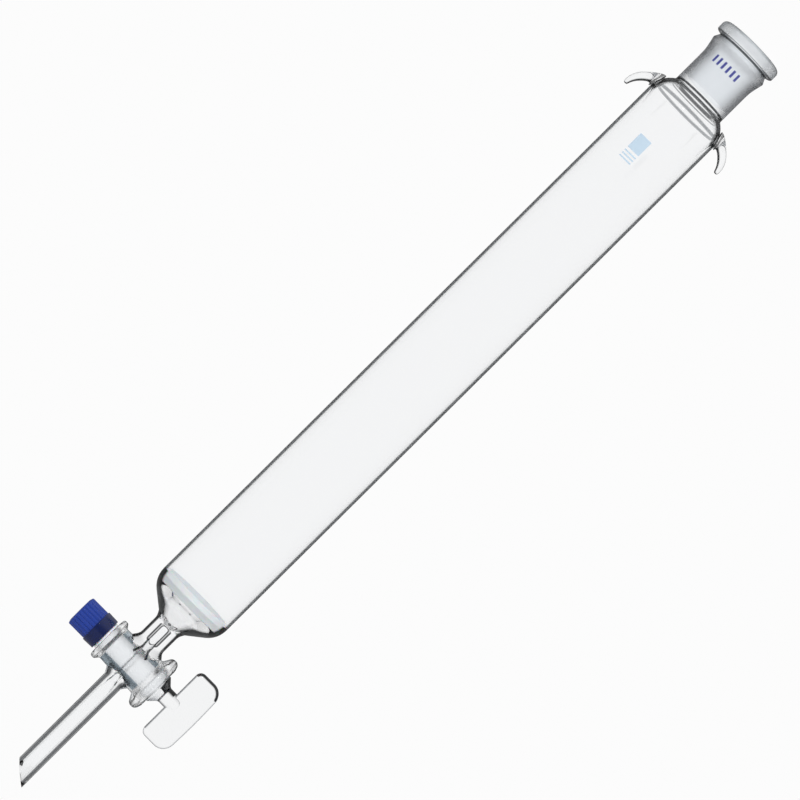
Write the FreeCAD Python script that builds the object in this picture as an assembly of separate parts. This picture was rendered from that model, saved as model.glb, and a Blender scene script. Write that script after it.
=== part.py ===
"""Glass chromatography column with a sintered disc and a glass-key stopcock.

A straight glass barrel hangs upright. A 24/29 ground socket is sealed to its shoulder, two glass hooks stand out
beside the socket, and a sintered disc closes the barrel's foot. Under the disc the glass draws in to a thick-walled
arm, a stopcock and a drip stem with a bevelled tip. The ground glass key turns in the stopcock's shell, and a
plastic nut on the key's glass thread holds it in, through a sealing ring and a washer.

Frame: +Z runs up the barrel's axis, the origin is halfway up the barrel's straight wall, the key's axis lies
along X with its handle at +X, and the stopcock is open at rest. Sizes are in millimetres.
"""

import FreeCAD, Part
import math
import os

from FreeCAD import Vector

# ---- barrel ----
BARREL_DIAMETER = 38.0
BARREL_WALL = 1.8
BARREL_LENGTH = 292.4  # the straight wall, from the disc's face to the shoulder's bend
SHOULDER_BEND = 12.0  # radius of the outer bend under the shoulder
SHOULDER_SLOPE = 40.0  # degrees above the horizontal

# ---- 24/29 ground socket ----
SOCKET_MOUTH = 24.0  # bore diameter at the mouth
SOCKET_TAPER = 0.1  # diameter lost for each millimetre of depth
SOCKET_GROUND = 29.0  # depth of the ground zone
SOCKET_PLAIN = 2.65  # plain tube under the ground zone
SOCKET_WALL = 2.85
RIM_DIAMETER = 32.3
RIM_HEIGHT = 5.4
RIM_ROUND = 2.2
RIM_EDGE = 0.9  # rounding of the rim's lower edge
LIP_DROP = 3.4  # height of the flare's lip under the rim
LIP_ROUND = 0.7
FLARE_HEIGHT = 6.5  # height over which the tube widens to the lip
GROOVE_DEPTH = 1.25  # depth of the groove between the lip and the rim, from the lip
GROOVE_HEIGHT = 1.0  # straight part of that groove

# ---- hooks ----
HOOK_RISE = 4.1  # height at which the rod's line meets the barrel, over the straight wall's end
HOOK_SLOPE = 33.0  # degrees below the horizontal at which the rod runs into its bend
HOOK_REACH = 4.4  # how far out of the barrel the bend starts
HOOK_BEND = 8.6  # radius of the rod's centreline
HOOK_END_SLOPE = 92.0  # degrees below the horizontal at the tip
HOOK_ROD = 4.3  # rod diameter where it starts to bend
HOOK_TIP_DIAMETER = 1.9
HOOK_FOOT = 12.0  # width of the foot, where it spreads over the shoulder
HOOK_FOOT_RISE = 3.9  # height of the foot's middle over the straight wall's end
HOOK_FOOT_DEPTH = 3.0  # how far inside the barrel's outside the foot starts
HOOK_FOOT_TILT = 20.0  # degrees by which the foot leans back over the shoulder
FOOT_STATIONS = 4  # steps from the foot to the bend
HOOK_STATIONS = 6  # steps in the bend

# ---- sintered disc and the cone under it ----
DISC_THICKNESS = 5.3
DISC_RISE = 1.1  # how far the disc stands over the weld of barrel and cone
DISC_EDGE = 1.6  # how far the disc's straight edge goes down below that weld
DISC_BEVEL = 1.9  # how far the disc's lower edge draws in
CONE_STRAIGHT = 0.8  # straight wall between that weld and the bend
CONE_BEND = 11.0
CONE_SLOPE = 38.5  # degrees below the horizontal
CONE_DEPTH = 12.8  # from the disc's underside to where the bore starts

# ---- stopcock ----
KEY_DROP = 39.0  # from the barrel's straight wall to the key's axis
WATERWAY = 3.0  # bore of the arm, the shell and the key
ARM_DIAMETER = 13.0
ARM_COLLAR = 1.3  # how far the arm's top stands out to meet the cone
ARM_COLLAR_DEPTH = 2.4
WELD_RADIUS = 1.8  # fillet where an arm meets the shell, where the beads leave room
WELD_TOLERANCE = 0.3  # how closely the seam's edge is recognised
SHELL_MOUTH = 14.5  # bore diameter at the handle end
SHELL_TAPER = 0.1
SHELL_HANDLE_SIDE = 15.9  # from the barrel's axis to the shell's wide end
SHELL_NUT_SIDE = 15.2  # and to its narrow end
SHELL_WALL = 2.6
MOUTH_BEAD = 6.3  # height of the bead over the bore at the wide end
MOUTH_BEAD_WIDTH = 6.8
NARROW_BEAD = 4.8
NARROW_BEAD_WIDTH = 4.0
BEAD_FILLET = 0.8  # where a bead meets the shell

# ---- key ----
KEY_CLEARANCE = 0.04
KEY_HEAD = 0.5  # how far the ground plug stands out of the shell
KEY_SHOULDER = 3.2  # length of the cone from the plug to the neck
NECK_DIAMETER = 7.8
NECK_LENGTH = 3.9
HANDLE_LENGTH = 36.8
HANDLE_WIDTH = 14.5
HANDLE_THICKNESS = 6.0
HANDLE_CORNER_IN = 3.0
HANDLE_CORNER_OUT = 6.0
HANDLE_BULGE = 0.6
HANDLE_EDGE = 2.6

# ---- retention: washer, sealing ring, nut and thread ----
STUB_DIAMETER = 8.4  # plain glass between the plug and the thread
THREAD_CREST = 7.4
THREAD_ROOT = 6.0
THREAD_PITCH = 2.0
THREAD_CLEARANCE = 0.12
THREAD_RELIEF = 0.3  # between the plain stub's end and the bottom of the nut's recess
LOOSE_FIT = 0.1  # washer and sealing ring on the stub
SEATING_GAP = 0.05  # between faces that press on each other in use
WASHER_DIAMETER = 13.8
WASHER_THICKNESS = 1.0
RING_CORD = 1.8  # diameter of the sealing ring's cord
NUT_LENGTH = 15.2
NUT_GRIP_LENGTH = 9.5
NUT_GRIP_DIAMETER = 15.0
NUT_SKIRT_DIAMETER = 16.0
NUT_END_WALL = 3.2
NUT_RIBS = 24
RIB_DEPTH = 0.45
RIB_GAP = 1.1  # width of the groove between two ribs

# ---- drip stem ----
STEM_DIAMETER = 9.8
STEM_BORE = 5.0
STEM_FOOT = 11.0  # diameter of the stem's foot at the shell
STEM_LENGTH = 71.4  # from the key's axis to the tip
STEM_NECK = 8.0  # length over which the foot narrows and the waterway opens into the stem's bore
TIP_BEVEL = 41.0  # degrees of the ground tip from the horizontal

# ---- heights and radii that follow ----
BARREL_RADIUS = BARREL_DIAMETER / 2
BORE_RADIUS = BARREL_RADIUS - BARREL_WALL
TOP = BARREL_LENGTH / 2
FOOT = -BARREL_LENGTH / 2
SOCKET_SMALL = SOCKET_MOUTH / 2 - SOCKET_TAPER * SOCKET_GROUND / 2
SOCKET_TUBE = SOCKET_SMALL + SOCKET_WALL
WATERWAY_RADIUS = WATERWAY / 2
ARM_RADIUS = ARM_DIAMETER / 2
AXIS_Z = FOOT - KEY_DROP
DISC_TOP = FOOT + DISC_RISE
DISC_FOOT = DISC_TOP - DISC_THICKNESS
DISC_LOW_RADIUS = BORE_RADIUS - DISC_BEVEL
CONE_APEX = DISC_FOOT - CONE_DEPTH
NECK_RADIUS = NECK_DIAMETER / 2
STUB_RADIUS = STUB_DIAMETER / 2
STUB_START = -SHELL_NUT_SIDE - SEATING_GAP - WASHER_THICKNESS
STEM_RADIUS = STEM_DIAMETER / 2
STEM_TIP = AXIS_Z - STEM_LENGTH
NARROW_BEAD_FOOT = NARROW_BEAD_WIDTH - SHELL_NUT_SIDE
MOUTH_BEAD_FOOT = SHELL_HANDLE_SIDE - MOUTH_BEAD_WIDTH


def rounded(corners):
    """A closed face from (across, along, radius) corners: straight runs, with an arc at each corner that has a radius."""
    edges = []
    count = len(corners)
    ends = []
    for i, (x, y, radius) in enumerate(corners):
        here = Vector(x, y, 0)
        before = Vector(*corners[i - 1][:2], 0) - here
        after = Vector(*corners[(i + 1) % count][:2], 0) - here
        if not radius:
            ends.append((here, None, here))
            continue
        half = before.getAngle(after) / 2
        reach = radius / math.tan(half)
        middle = (before.normalize() + after.normalize()).normalize()
        centre = here + middle * (radius / math.sin(half))
        ends.append((here + before * reach, centre - middle * radius, here + after * reach))
    for i, (start, crown, stop) in enumerate(ends):
        if crown is not None:
            edges.append(Part.Arc(start, crown, stop).toShape())
        following = ends[(i + 1) % count][0]
        if (following - stop).Length > 1e-6:
            edges.append(Part.LineSegment(stop, following).toShape())
    return Part.Face(Part.Wire(edges))


def turned(corners):
    """A solid of revolution about Z from (radius, height, rounding) corners."""
    face = rounded(corners)
    face.rotate(Vector(), Vector(1, 0, 0), 90)
    return face.revolve(Vector(), Vector(0, 0, 1), 360)


def turned_on_key_axis(corners):
    """A solid of revolution about the key's axis from (along X, radius, rounding) corners."""
    solid = rounded(corners).revolve(Vector(), Vector(1, 0, 0), 360)
    solid.translate(Vector(0, 0, AXIS_Z))
    return solid


def rod(radius, low, high):
    """An upright cylinder on the barrel's axis."""
    return Part.makeCylinder(radius, high - low, Vector(0, 0, low))


def seat_radius(x):
    """Radius of the shell's tapered bore at a place along the key's axis."""
    return SHELL_MOUTH / 2 - SHELL_TAPER * (SHELL_HANDLE_SIDE - x) / 2


def shoulder_corner(inset):
    """(radius, height, rounding) of the bend under the shoulder, on a surface this far inside the outer one."""
    turn = math.radians(90 - SHOULDER_SLOPE)
    reach = SHOULDER_BEND * math.tan(turn / 2)
    return (BARREL_RADIUS - inset, TOP + reach - inset * math.tan(turn / 2), SHOULDER_BEND - inset)


def shoulder_height(radius, inset):
    """Height at which the shoulder's slope comes in to this radius."""
    corner = shoulder_corner(inset)
    return corner[1] + (corner[0] - radius) * math.tan(math.radians(SHOULDER_SLOPE))


SHOULDER_TOP = shoulder_height(SOCKET_TUBE, 0) + SOCKET_WALL / 2
SOCKET_TOP = SHOULDER_TOP + SOCKET_PLAIN + SOCKET_GROUND


def barrel():
    """The main tube and its shoulder."""
    inner = shoulder_corner(BARREL_WALL)
    return turned([
        (BARREL_RADIUS, FOOT, 0),
        shoulder_corner(0),
        (SOCKET_TUBE, shoulder_height(SOCKET_TUBE, 0), 1.0),
        (SOCKET_TUBE, SHOULDER_TOP, 0),
        (SOCKET_SMALL, SHOULDER_TOP, 0),
        (SOCKET_SMALL, shoulder_height(SOCKET_SMALL, BARREL_WALL), 1.5),
        inner,
        (BORE_RADIUS, FOOT, 0),
    ])


def joint_socket():
    """The 24/29 socket: a ground taper bore, a flare that ends in a lip, a groove and a rounded rim."""
    rim_foot = SOCKET_TOP - RIM_HEIGHT
    lip = rim_foot - LIP_DROP
    mouth = SOCKET_MOUTH / 2
    flared = mouth + SOCKET_WALL
    return turned([
        (SOCKET_TUBE, SHOULDER_TOP, 0),
        (SOCKET_TUBE, lip - FLARE_HEIGHT, 20),
        (flared, lip, LIP_ROUND),
        (flared - GROOVE_DEPTH, rim_foot - GROOVE_HEIGHT, LIP_ROUND),
        (flared - GROOVE_DEPTH, rim_foot, 0),
        (RIM_DIAMETER / 2, rim_foot, RIM_EDGE),
        (RIM_DIAMETER / 2, SOCKET_TOP, RIM_ROUND),
        (mouth, SOCKET_TOP, 0),
        (SOCKET_SMALL, SOCKET_TOP - SOCKET_GROUND, 0),
        (SOCKET_SMALL, SHOULDER_TOP, 0),
    ])


def hook(side):
    """One glass hook: a foot spread over the shoulder, and a rod that bends down to a round tip.

    side is 1 at +X or -1 at -X.
    """
    leave = math.radians(HOOK_SLOPE)
    end = math.radians(HOOK_END_SLOPE)
    bend_x = BARREL_RADIUS + HOOK_REACH
    bend_z = TOP + HOOK_RISE - HOOK_REACH * math.tan(leave)
    centre_x = bend_x - HOOK_BEND * math.sin(leave)
    centre_z = bend_z - HOOK_BEND * math.cos(leave)
    foot = Vector(BARREL_RADIUS - HOOK_FOOT_DEPTH, 0, TOP + HOOK_FOOT_RISE)
    bend = Vector(bend_x, 0, bend_z)
    half_way = (bend_x - foot.x) / 2
    knee = Vector(bend_x - half_way, 0, bend_z + half_way * math.tan(leave))
    stations = []
    for i in range(FOOT_STATIONS):
        share = i / FOOT_STATIONS
        place = foot * (1 - share) ** 2 + knee * 2 * share * (1 - share) + bend * share ** 2
        angle = leave * share - math.radians(HOOK_FOOT_TILT) * (1 - share)
        stations.append((place.x, place.z, angle, HOOK_ROD + (HOOK_FOOT - HOOK_ROD) * (1 - share) ** 2))
    for i in range(HOOK_STATIONS + 1):
        share = i / HOOK_STATIONS
        angle = leave + (end - leave) * share
        x = centre_x + HOOK_BEND * math.sin(angle)
        z = centre_z + HOOK_BEND * math.cos(angle)
        stations.append((x, z, angle, HOOK_ROD + (HOOK_TIP_DIAMETER - HOOK_ROD) * share))
    rings = [
        Part.Wire(Part.makeCircle(width / 2, Vector(x, 0, z), Vector(math.cos(a), 0, -math.sin(a))))
        for x, z, a, width in stations
    ]
    tip = Part.makeSphere(HOOK_TIP_DIAMETER / 2, Vector(x, 0, z))
    shape = Part.makeLoft(rings, True).fuse(tip).cut(barrel_envelope()).removeSplitter()
    return shape if side > 0 else shape.mirror(Vector(), Vector(1, 0, 0))


def barrel_envelope():
    """The barrel and its shoulder as a solid block, to fit the hooks' feet."""
    return turned([
        (0, FOOT, 0),
        (BARREL_RADIUS, FOOT, 0),
        shoulder_corner(0),
        (SOCKET_TUBE, shoulder_height(SOCKET_TUBE, 0), 1.0),
        (SOCKET_TUBE, SHOULDER_TOP, 0),
        (0, SHOULDER_TOP, 0),
    ])


def cone_corner():
    """(radius, height, rounding) of the outer bend above the cone."""
    turn = math.radians(90 - CONE_SLOPE)
    return (BARREL_RADIUS, FOOT - CONE_STRAIGHT - CONE_BEND * math.tan(turn / 2), CONE_BEND)


ARM_TOP_RADIUS = ARM_RADIUS + ARM_COLLAR
CONE_FOOT = cone_corner()[1] - (BARREL_RADIUS - ARM_TOP_RADIUS) * math.tan(math.radians(CONE_SLOPE))


def cone_bore(height):
    """Radius of the cone's inside at a height between the disc and the waterway."""
    share = (height - CONE_APEX) / (DISC_FOOT - CONE_APEX)
    return WATERWAY_RADIUS + (DISC_LOW_RADIUS - WATERWAY_RADIUS) * share


def base_cone():
    """The foot of the column: the disc's seat and the drawn-in cone under it."""
    return turned([
        (BARREL_RADIUS, FOOT, 0),
        (BORE_RADIUS, FOOT, 0),
        (BORE_RADIUS, FOOT - DISC_EDGE, 0),
        (DISC_LOW_RADIUS, DISC_FOOT, 0),
        (cone_bore(CONE_FOOT), CONE_FOOT, 0),
        (ARM_TOP_RADIUS, CONE_FOOT, 0),
        cone_corner(),
    ])


def sintered_disc():
    """The porous disc, sealed all round into the cone's seat."""
    return turned([
        (0, DISC_TOP, 0),
        (BORE_RADIUS, DISC_TOP, 0),
        (BORE_RADIUS, FOOT - DISC_EDGE, 0),
        (DISC_LOW_RADIUS, DISC_FOOT, 0),
        (0, DISC_FOOT, 0),
    ])


def shell_outline():
    """Corners of the shell's outside, from the narrow end's face to the wide end's."""
    narrow = seat_radius(-SHELL_NUT_SIDE)
    wide = SHELL_MOUTH / 2
    return [
        (-SHELL_NUT_SIDE, narrow + SHELL_WALL, 0.8),
        (-SHELL_NUT_SIDE + 0.3, narrow + NARROW_BEAD, 1.1),
        (-SHELL_NUT_SIDE + NARROW_BEAD_WIDTH * 0.6, narrow + NARROW_BEAD, 1.1),
        (NARROW_BEAD_FOOT, seat_radius(NARROW_BEAD_FOOT) + SHELL_WALL, BEAD_FILLET),
        (MOUTH_BEAD_FOOT, seat_radius(MOUTH_BEAD_FOOT) + SHELL_WALL, BEAD_FILLET),
        (SHELL_HANDLE_SIDE - MOUTH_BEAD_WIDTH * 0.65, wide + MOUTH_BEAD, 2.2),
        (SHELL_HANDLE_SIDE - MOUTH_BEAD_WIDTH * 0.15, wide + MOUTH_BEAD, 2.2),
        (SHELL_HANDLE_SIDE, wide + MOUTH_BEAD * 0.5, 1.2),
    ]


def shell_envelope():
    """The shell's outside as a solid block, to fit the arm and the stem."""
    return turned_on_key_axis(
        [(-SHELL_NUT_SIDE, 0, 0)] + shell_outline() + [(SHELL_HANDLE_SIDE, 0, 0)]
    )


def waterway():
    """The straight bore through the shell's two walls and the key."""
    reach = seat_radius(SHELL_HANDLE_SIDE) + MOUTH_BEAD
    return rod(WATERWAY_RADIUS, AXIS_Z - reach, AXIS_Z + reach)


def stopcock_shell():
    """The tapered shell with a bead at each end."""
    return turned_on_key_axis(
        [(-SHELL_NUT_SIDE, seat_radius(-SHELL_NUT_SIDE), 0)]
        + shell_outline()
        + [(SHELL_HANDLE_SIDE, seat_radius(SHELL_HANDLE_SIDE), 0)]
    ).cut(waterway())


def welded_to_shell(tube, radius, side):
    """The tube with a weld fillet at the shell's outside, and its foot cut to that surface. side is 1 above, -1 below."""
    envelope = shell_envelope()
    joined = envelope.fuse(tube)
    reach = seat_radius(0) + 2 * SHELL_WALL
    seam = [
        edge
        for edge in joined.Edges
        if abs(edge.BoundBox.XMax - radius) < WELD_TOLERANCE
        and abs(edge.BoundBox.YMax - radius) < WELD_TOLERANCE
        and 0 < side * (edge.BoundBox.Center.z - AXIS_Z) < reach
    ]
    room = min(MOUTH_BEAD_FOOT, -NARROW_BEAD_FOOT) - BEAD_FILLET - radius
    return joined.makeFillet(min(WELD_RADIUS, 0.85 * room), seam).cut(envelope)


def inlet_arm():
    """The thick-walled arm between the cone and the shell."""
    outside = turned([
        (0, AXIS_Z, 0),
        (ARM_RADIUS, AXIS_Z, 0),
        (ARM_RADIUS, CONE_FOOT - ARM_COLLAR_DEPTH, 2 * ARM_COLLAR_DEPTH),
        (ARM_TOP_RADIUS, CONE_FOOT, 0),
        (0, CONE_FOOT, 0),
    ])
    bore = turned([
        (0, AXIS_Z, 0),
        (WATERWAY_RADIUS, AXIS_Z, 0),
        (WATERWAY_RADIUS, CONE_APEX, 0),
        (cone_bore(CONE_FOOT), CONE_FOOT, 0),
        (0, CONE_FOOT, 0),
    ])
    return welded_to_shell(outside, ARM_RADIUS, 1).cut(bore)


def outlet_stem():
    """The drip stem, with a waterway that opens into a wider bore, and a bevelled tip."""
    opening = AXIS_Z - seat_radius(0) - SHELL_WALL
    spread = (STEM_FOOT / 2 - STEM_RADIUS) / STEM_NECK
    outside = turned([
        (0, AXIS_Z, 0),
        (STEM_FOOT / 2 + spread * (AXIS_Z - opening), AXIS_Z, 0),
        (STEM_RADIUS, opening - STEM_NECK, 0),
        (STEM_RADIUS, STEM_TIP, 0),
        (0, STEM_TIP, 0),
    ])
    bore = turned([
        (0, AXIS_Z, 0),
        (WATERWAY_RADIUS, AXIS_Z, 0),
        (WATERWAY_RADIUS, opening, 0),
        (STEM_BORE / 2, opening - STEM_NECK, 0),
        (STEM_BORE / 2, STEM_TIP, 0),
        (0, STEM_TIP, 0),
    ])
    size = 4 * STEM_DIAMETER
    wedge = Part.makeBox(size, size, size, Vector(-size, -size / 2, -size))
    wedge.rotate(Vector(), Vector(0, 1, 0), TIP_BEVEL)
    wedge.translate(Vector(STEM_RADIUS, 0, STEM_TIP))
    return welded_to_shell(outside, STEM_FOOT / 2, -1).cut(bore).cut(wedge)


def handle():
    """The flat oval grip, which lies along the barrel when the stopcock is open."""
    start = SHELL_HANDLE_SIDE + KEY_HEAD + KEY_SHOULDER + NECK_LENGTH
    end = start + HANDLE_WIDTH
    half = HANDLE_LENGTH / 2
    bulge_radius = half ** 2 / (2 * HANDLE_BULGE)
    plate = rounded([
        (start, -half, HANDLE_CORNER_IN),
        (end - HANDLE_BULGE, -half, HANDLE_CORNER_OUT),
        (end, 0, bulge_radius / 2),
        (end - HANDLE_BULGE, half, HANDLE_CORNER_OUT),
        (start, half, HANDLE_CORNER_IN),
    ]).extrude(Vector(0, 0, HANDLE_THICKNESS))
    faces = (0, HANDLE_THICKNESS)
    rims = [e for e in plate.Edges if e.BoundBox.ZLength < 1e-6 and any(abs(e.BoundBox.ZMin - z) < 1e-6 for z in faces)]
    plate = plate.makeFillet(min(HANDLE_EDGE, HANDLE_THICKNESS * 0.45), rims)
    plate.translate(Vector(0, 0, -HANDLE_THICKNESS / 2))
    plate.rotate(Vector(), Vector(1, 0, 0), 90)
    plate.translate(Vector(0, 0, AXIS_Z))
    return plate


def stopcock_key():
    """The ground plug with its waterway, the neck and handle, and the threaded stub."""
    plug_end = SHELL_HANDLE_SIDE + KEY_HEAD
    neck_start = plug_end + KEY_SHOULDER
    neck_end = neck_start + NECK_LENGTH + HANDLE_CORNER_IN + NECK_RADIUS / 2
    plug_start = -SHELL_NUT_SIDE + 0.4
    body = turned_on_key_axis([
        (THREAD_START, 0, 0),
        (THREAD_START, STUB_RADIUS, 0.3),
        (plug_start, STUB_RADIUS, 0),
        (plug_start, seat_radius(plug_start) - KEY_CLEARANCE, 0),
        (plug_end, seat_radius(plug_end) - KEY_CLEARANCE, 0.6),
        (neck_start, NECK_RADIUS, 1.5),
        (neck_end, NECK_RADIUS, NECK_RADIUS * 0.9),
        (neck_end, 0, 0),
    ])
    whole = body.fuse(handle()).cut(waterway())
    return whole.fuse(thread(0)).removeSplitter()


RECESS_DEPTH = RING_CORD + SEATING_GAP
RECESS_RADIUS = STUB_RADIUS + LOOSE_FIT + RING_CORD + SEATING_GAP
THREAD_START = STUB_START - SEATING_GAP - RECESS_DEPTH + THREAD_RELIEF
THREAD_LENGTH = NUT_LENGTH - RECESS_DEPTH - NUT_END_WALL


def thread(growth):
    """The glass screw on the key's stub, running out along -X. growth makes it larger, to cut the nut's thread."""
    root = THREAD_ROOT / 2 + growth
    crest = THREAD_CREST / 2 + growth
    sink = 0.4
    lead = THREAD_PITCH if growth else 0
    length = THREAD_LENGTH + lead
    run = length - THREAD_PITCH
    half_foot = THREAD_PITCH * 0.33 + growth
    half_top = THREAD_PITCH * 0.14 + growth
    helix = Part.makeHelix(THREAD_PITCH, run, root)
    corners = [
        Vector(root - sink, 0, -half_foot),
        Vector(crest, 0, -half_top),
        Vector(crest, 0, half_top),
        Vector(root - sink, 0, half_foot),
    ]
    sweep = Part.BRepOffsetAPI.MakePipeShell(helix)
    sweep.setFrenetMode(True)
    sweep.add(Part.makePolygon(corners + corners[:1]))
    sweep.build()
    sweep.makeSolid()
    ridge = sweep.shape()
    ridge.translate(Vector(0, 0, THREAD_PITCH / 2 - lead))
    core = Part.makeCylinder(root, length + growth, Vector(0, 0, -lead))
    screw = core.fuse(ridge)
    screw.rotate(Vector(), Vector(0, 1, 0), -90)
    screw.translate(Vector(THREAD_START, 0, AXIS_Z))
    return screw


def thrust_washer():
    """The white washer between the shell's narrow end and the nut."""
    start = -SHELL_NUT_SIDE - SEATING_GAP
    inner = STUB_RADIUS + LOOSE_FIT
    return turned_on_key_axis([
        (start, inner, 0),
        (start, WASHER_DIAMETER / 2, 0.2),
        (start - WASHER_THICKNESS, WASHER_DIAMETER / 2, 0.2),
        (start - WASHER_THICKNESS, inner, 0),
    ])


def sealing_ring():
    """The rubber ring inside the nut's recess."""
    middle = STUB_RADIUS + LOOSE_FIT + RING_CORD / 2
    ring = Part.makeTorus(middle, RING_CORD / 2, Vector(), Vector(1, 0, 0))
    ring.translate(Vector(STUB_START - SEATING_GAP - RING_CORD / 2, 0, AXIS_Z))
    return ring


def retaining_nut():
    """The screw cap: a ribbed grip, a plain skirt with the ring's recess, and the inside thread."""
    face = STUB_START - SEATING_GAP
    end = face - NUT_LENGTH
    step = end + NUT_GRIP_LENGTH
    grip = NUT_GRIP_DIAMETER / 2
    skirt = NUT_SKIRT_DIAMETER / 2
    body = turned_on_key_axis([
        (face, 0, 0),
        (face, skirt - 0.3, 0.4),
        (step, skirt, 0.5),
        (step, grip, 0),
        (end, grip, 0.9),
        (end, 0, 0),
    ])
    recess = turned_on_key_axis([
        (face, 0, 0),
        (face, RECESS_RADIUS, 0),
        (face - RECESS_DEPTH, RECESS_RADIUS, 0),
        (face - RECESS_DEPTH, 0, 0),
    ])
    grooves = []
    for i in range(NUT_RIBS):
        groove = Part.makeBox(
            NUT_GRIP_LENGTH - 0.6, RIB_GAP, 2 * RIB_DEPTH, Vector(end - 1, -RIB_GAP / 2, grip - RIB_DEPTH)
        )
        groove.rotate(Vector(), Vector(1, 0, 0), 360 * i / NUT_RIBS)
        groove.translate(Vector(0, 0, AXIS_Z))
        grooves.append(groove)
    return body.cut(recess).cut(thread(THREAD_CLEARANCE)).cut(Part.makeCompound(grooves))


PIECES = {
    "joint_socket": joint_socket,
    "barrel": barrel,
    "hook_left": lambda: hook(-1),
    "hook_right": lambda: hook(1),
    "sintered_disc": sintered_disc,
    "base_cone": base_cone,
    "inlet_arm": inlet_arm,
    "stopcock_shell": stopcock_shell,
    "outlet_stem": outlet_stem,
    "stopcock_key": stopcock_key,
    "thrust_washer": thrust_washer,
    "sealing_ring": sealing_ring,
    "retaining_nut": retaining_nut,
}

os.makedirs("parts", exist_ok=True)
for name, build in PIECES.items():
    shape = build()
    box = shape.BoundBox
    print(
        f"{name:16s} solids {len(shape.Solids)} valid {shape.isValid()} volume {shape.Volume:10.2f} "
        f"x {box.XMin:7.2f} {box.XMax:7.2f} y {box.YMin:7.2f} {box.YMax:7.2f} z {box.ZMin:7.2f} {box.ZMax:7.2f}"
    )
    shape.exportStep(f"parts/{name}.step")
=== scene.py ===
"""A glass chromatography column with a ground socket, a sintered disc and a glass-key stopcock.

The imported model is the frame: every piece made here takes its place from a node's box. Lengths are in
metres, +Z runs up the barrel's axis, and the stopcock key's axis lies along X with its handle at +X.
"""

import logging
import math
from dataclasses import dataclass
from enum import Enum
from typing import Callable, Sequence

import bpy
from bpy.types import Material, Node, NodeSocket, NodeTree, Object
from mathutils import Matrix, Vector

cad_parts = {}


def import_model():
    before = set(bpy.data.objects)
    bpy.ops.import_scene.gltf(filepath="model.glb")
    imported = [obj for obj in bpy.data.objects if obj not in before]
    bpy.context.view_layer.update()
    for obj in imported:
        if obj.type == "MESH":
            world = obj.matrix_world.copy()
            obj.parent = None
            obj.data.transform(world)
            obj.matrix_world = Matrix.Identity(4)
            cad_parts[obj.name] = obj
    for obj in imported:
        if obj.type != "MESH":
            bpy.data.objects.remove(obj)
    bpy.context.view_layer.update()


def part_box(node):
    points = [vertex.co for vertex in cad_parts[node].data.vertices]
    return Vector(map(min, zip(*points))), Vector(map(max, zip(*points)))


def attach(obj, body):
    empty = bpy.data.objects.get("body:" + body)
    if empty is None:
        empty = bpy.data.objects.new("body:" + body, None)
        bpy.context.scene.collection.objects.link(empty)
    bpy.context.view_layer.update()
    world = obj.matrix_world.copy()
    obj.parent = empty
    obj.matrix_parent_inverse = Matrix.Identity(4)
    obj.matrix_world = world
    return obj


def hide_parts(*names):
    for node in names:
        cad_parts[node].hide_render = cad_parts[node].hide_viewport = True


log = logging.getLogger("column")

MM = 0.001
FULL_TURN = 2 * math.pi
ARC_STEP = 9.0  # degrees between the points of a rounded corner
ON_PLANE = 0.01 * MM  # how near a plane a face or an edge counts as in it
SQUARE_ON = 0.99  # least part of a normal along Z for a face that counts as flat
DRILL_OVERRUN = 1.0 * MM  # how far a drill reaches past its piece
WAY_SLACK = 0.02 * MM  # how far outside its radius a face still belongs to the waterway
FLOOR_DROP = 30.0 * MM  # how far the floor lies under the stem's tip

Colour = tuple[float, float, float]
Level = float | NodeSocket


class Axis(Enum):
    """The line that a turned piece turns about."""

    BARREL = "barrel"
    KEY = "key"


class Body(Enum):
    """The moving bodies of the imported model."""

    COLUMN = "column"
    KEY = "key"
    SEAL = "seal"
    NUT = "nut"


class Slot(Enum):
    """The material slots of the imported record."""

    CLEAR = "clear_glass"
    JOINT = "ground_joint_glass"
    KEY = "key_glass"
    SINTER = "sintered_glass"
    PTFE = "white_ptfe"
    RUBBER = "seal_rubber"
    NUT = "blue_plastic"


# --------------------------------------------------------------------------------------------- shader groups


def calculate(tree: NodeTree, operation: str, *values: Level) -> Node:
    """Adds a Math node.

    Args:
        tree: The node tree.
        operation: What it does.
        values: Its inputs in order, each a number or a socket.

    Returns:
        The node. Its only output is the result.
    """
    node = tree.nodes.new("ShaderNodeMath")
    node.operation = operation
    for socket, value in zip(node.inputs, values):
        feed(tree, socket, value)
    return node


def feed(tree: NodeTree, socket: NodeSocket, value: Level | tuple[float, ...]) -> None:
    """Gives an input socket its value, or links it to an output socket."""
    if isinstance(value, NodeSocket):
        tree.links.new(value, socket)
    else:
        socket.default_value = value


def fade(
    tree: NodeTree, value: NodeSocket, start: Level, end: Level, low: float = 0.0, high: float = 1.0
) -> NodeSocket:
    """A level that goes softly from one value to another as its input rises.

    Args:
        tree: The node tree.
        value: The input.
        start: Input at which the level starts to change.
        end: Input at which it is complete.
        low: Level before the start.
        high: Level after the end.

    Returns:
        The level's socket.
    """
    node = tree.nodes.new("ShaderNodeMapRange")
    node.interpolation_type = "SMOOTHSTEP"
    levels = {"From Min": start, "From Max": end, "To Min": low, "To Max": high, "Value": value}
    for label, level in levels.items():
        feed(tree, node.inputs[label], level)
    return node.outputs["Result"]


def object_place(tree: NodeTree) -> NodeSocket:
    """The place on the piece itself, as a vector socket."""
    return tree.nodes.new("ShaderNodeTexCoord").outputs["Object"]


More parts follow.
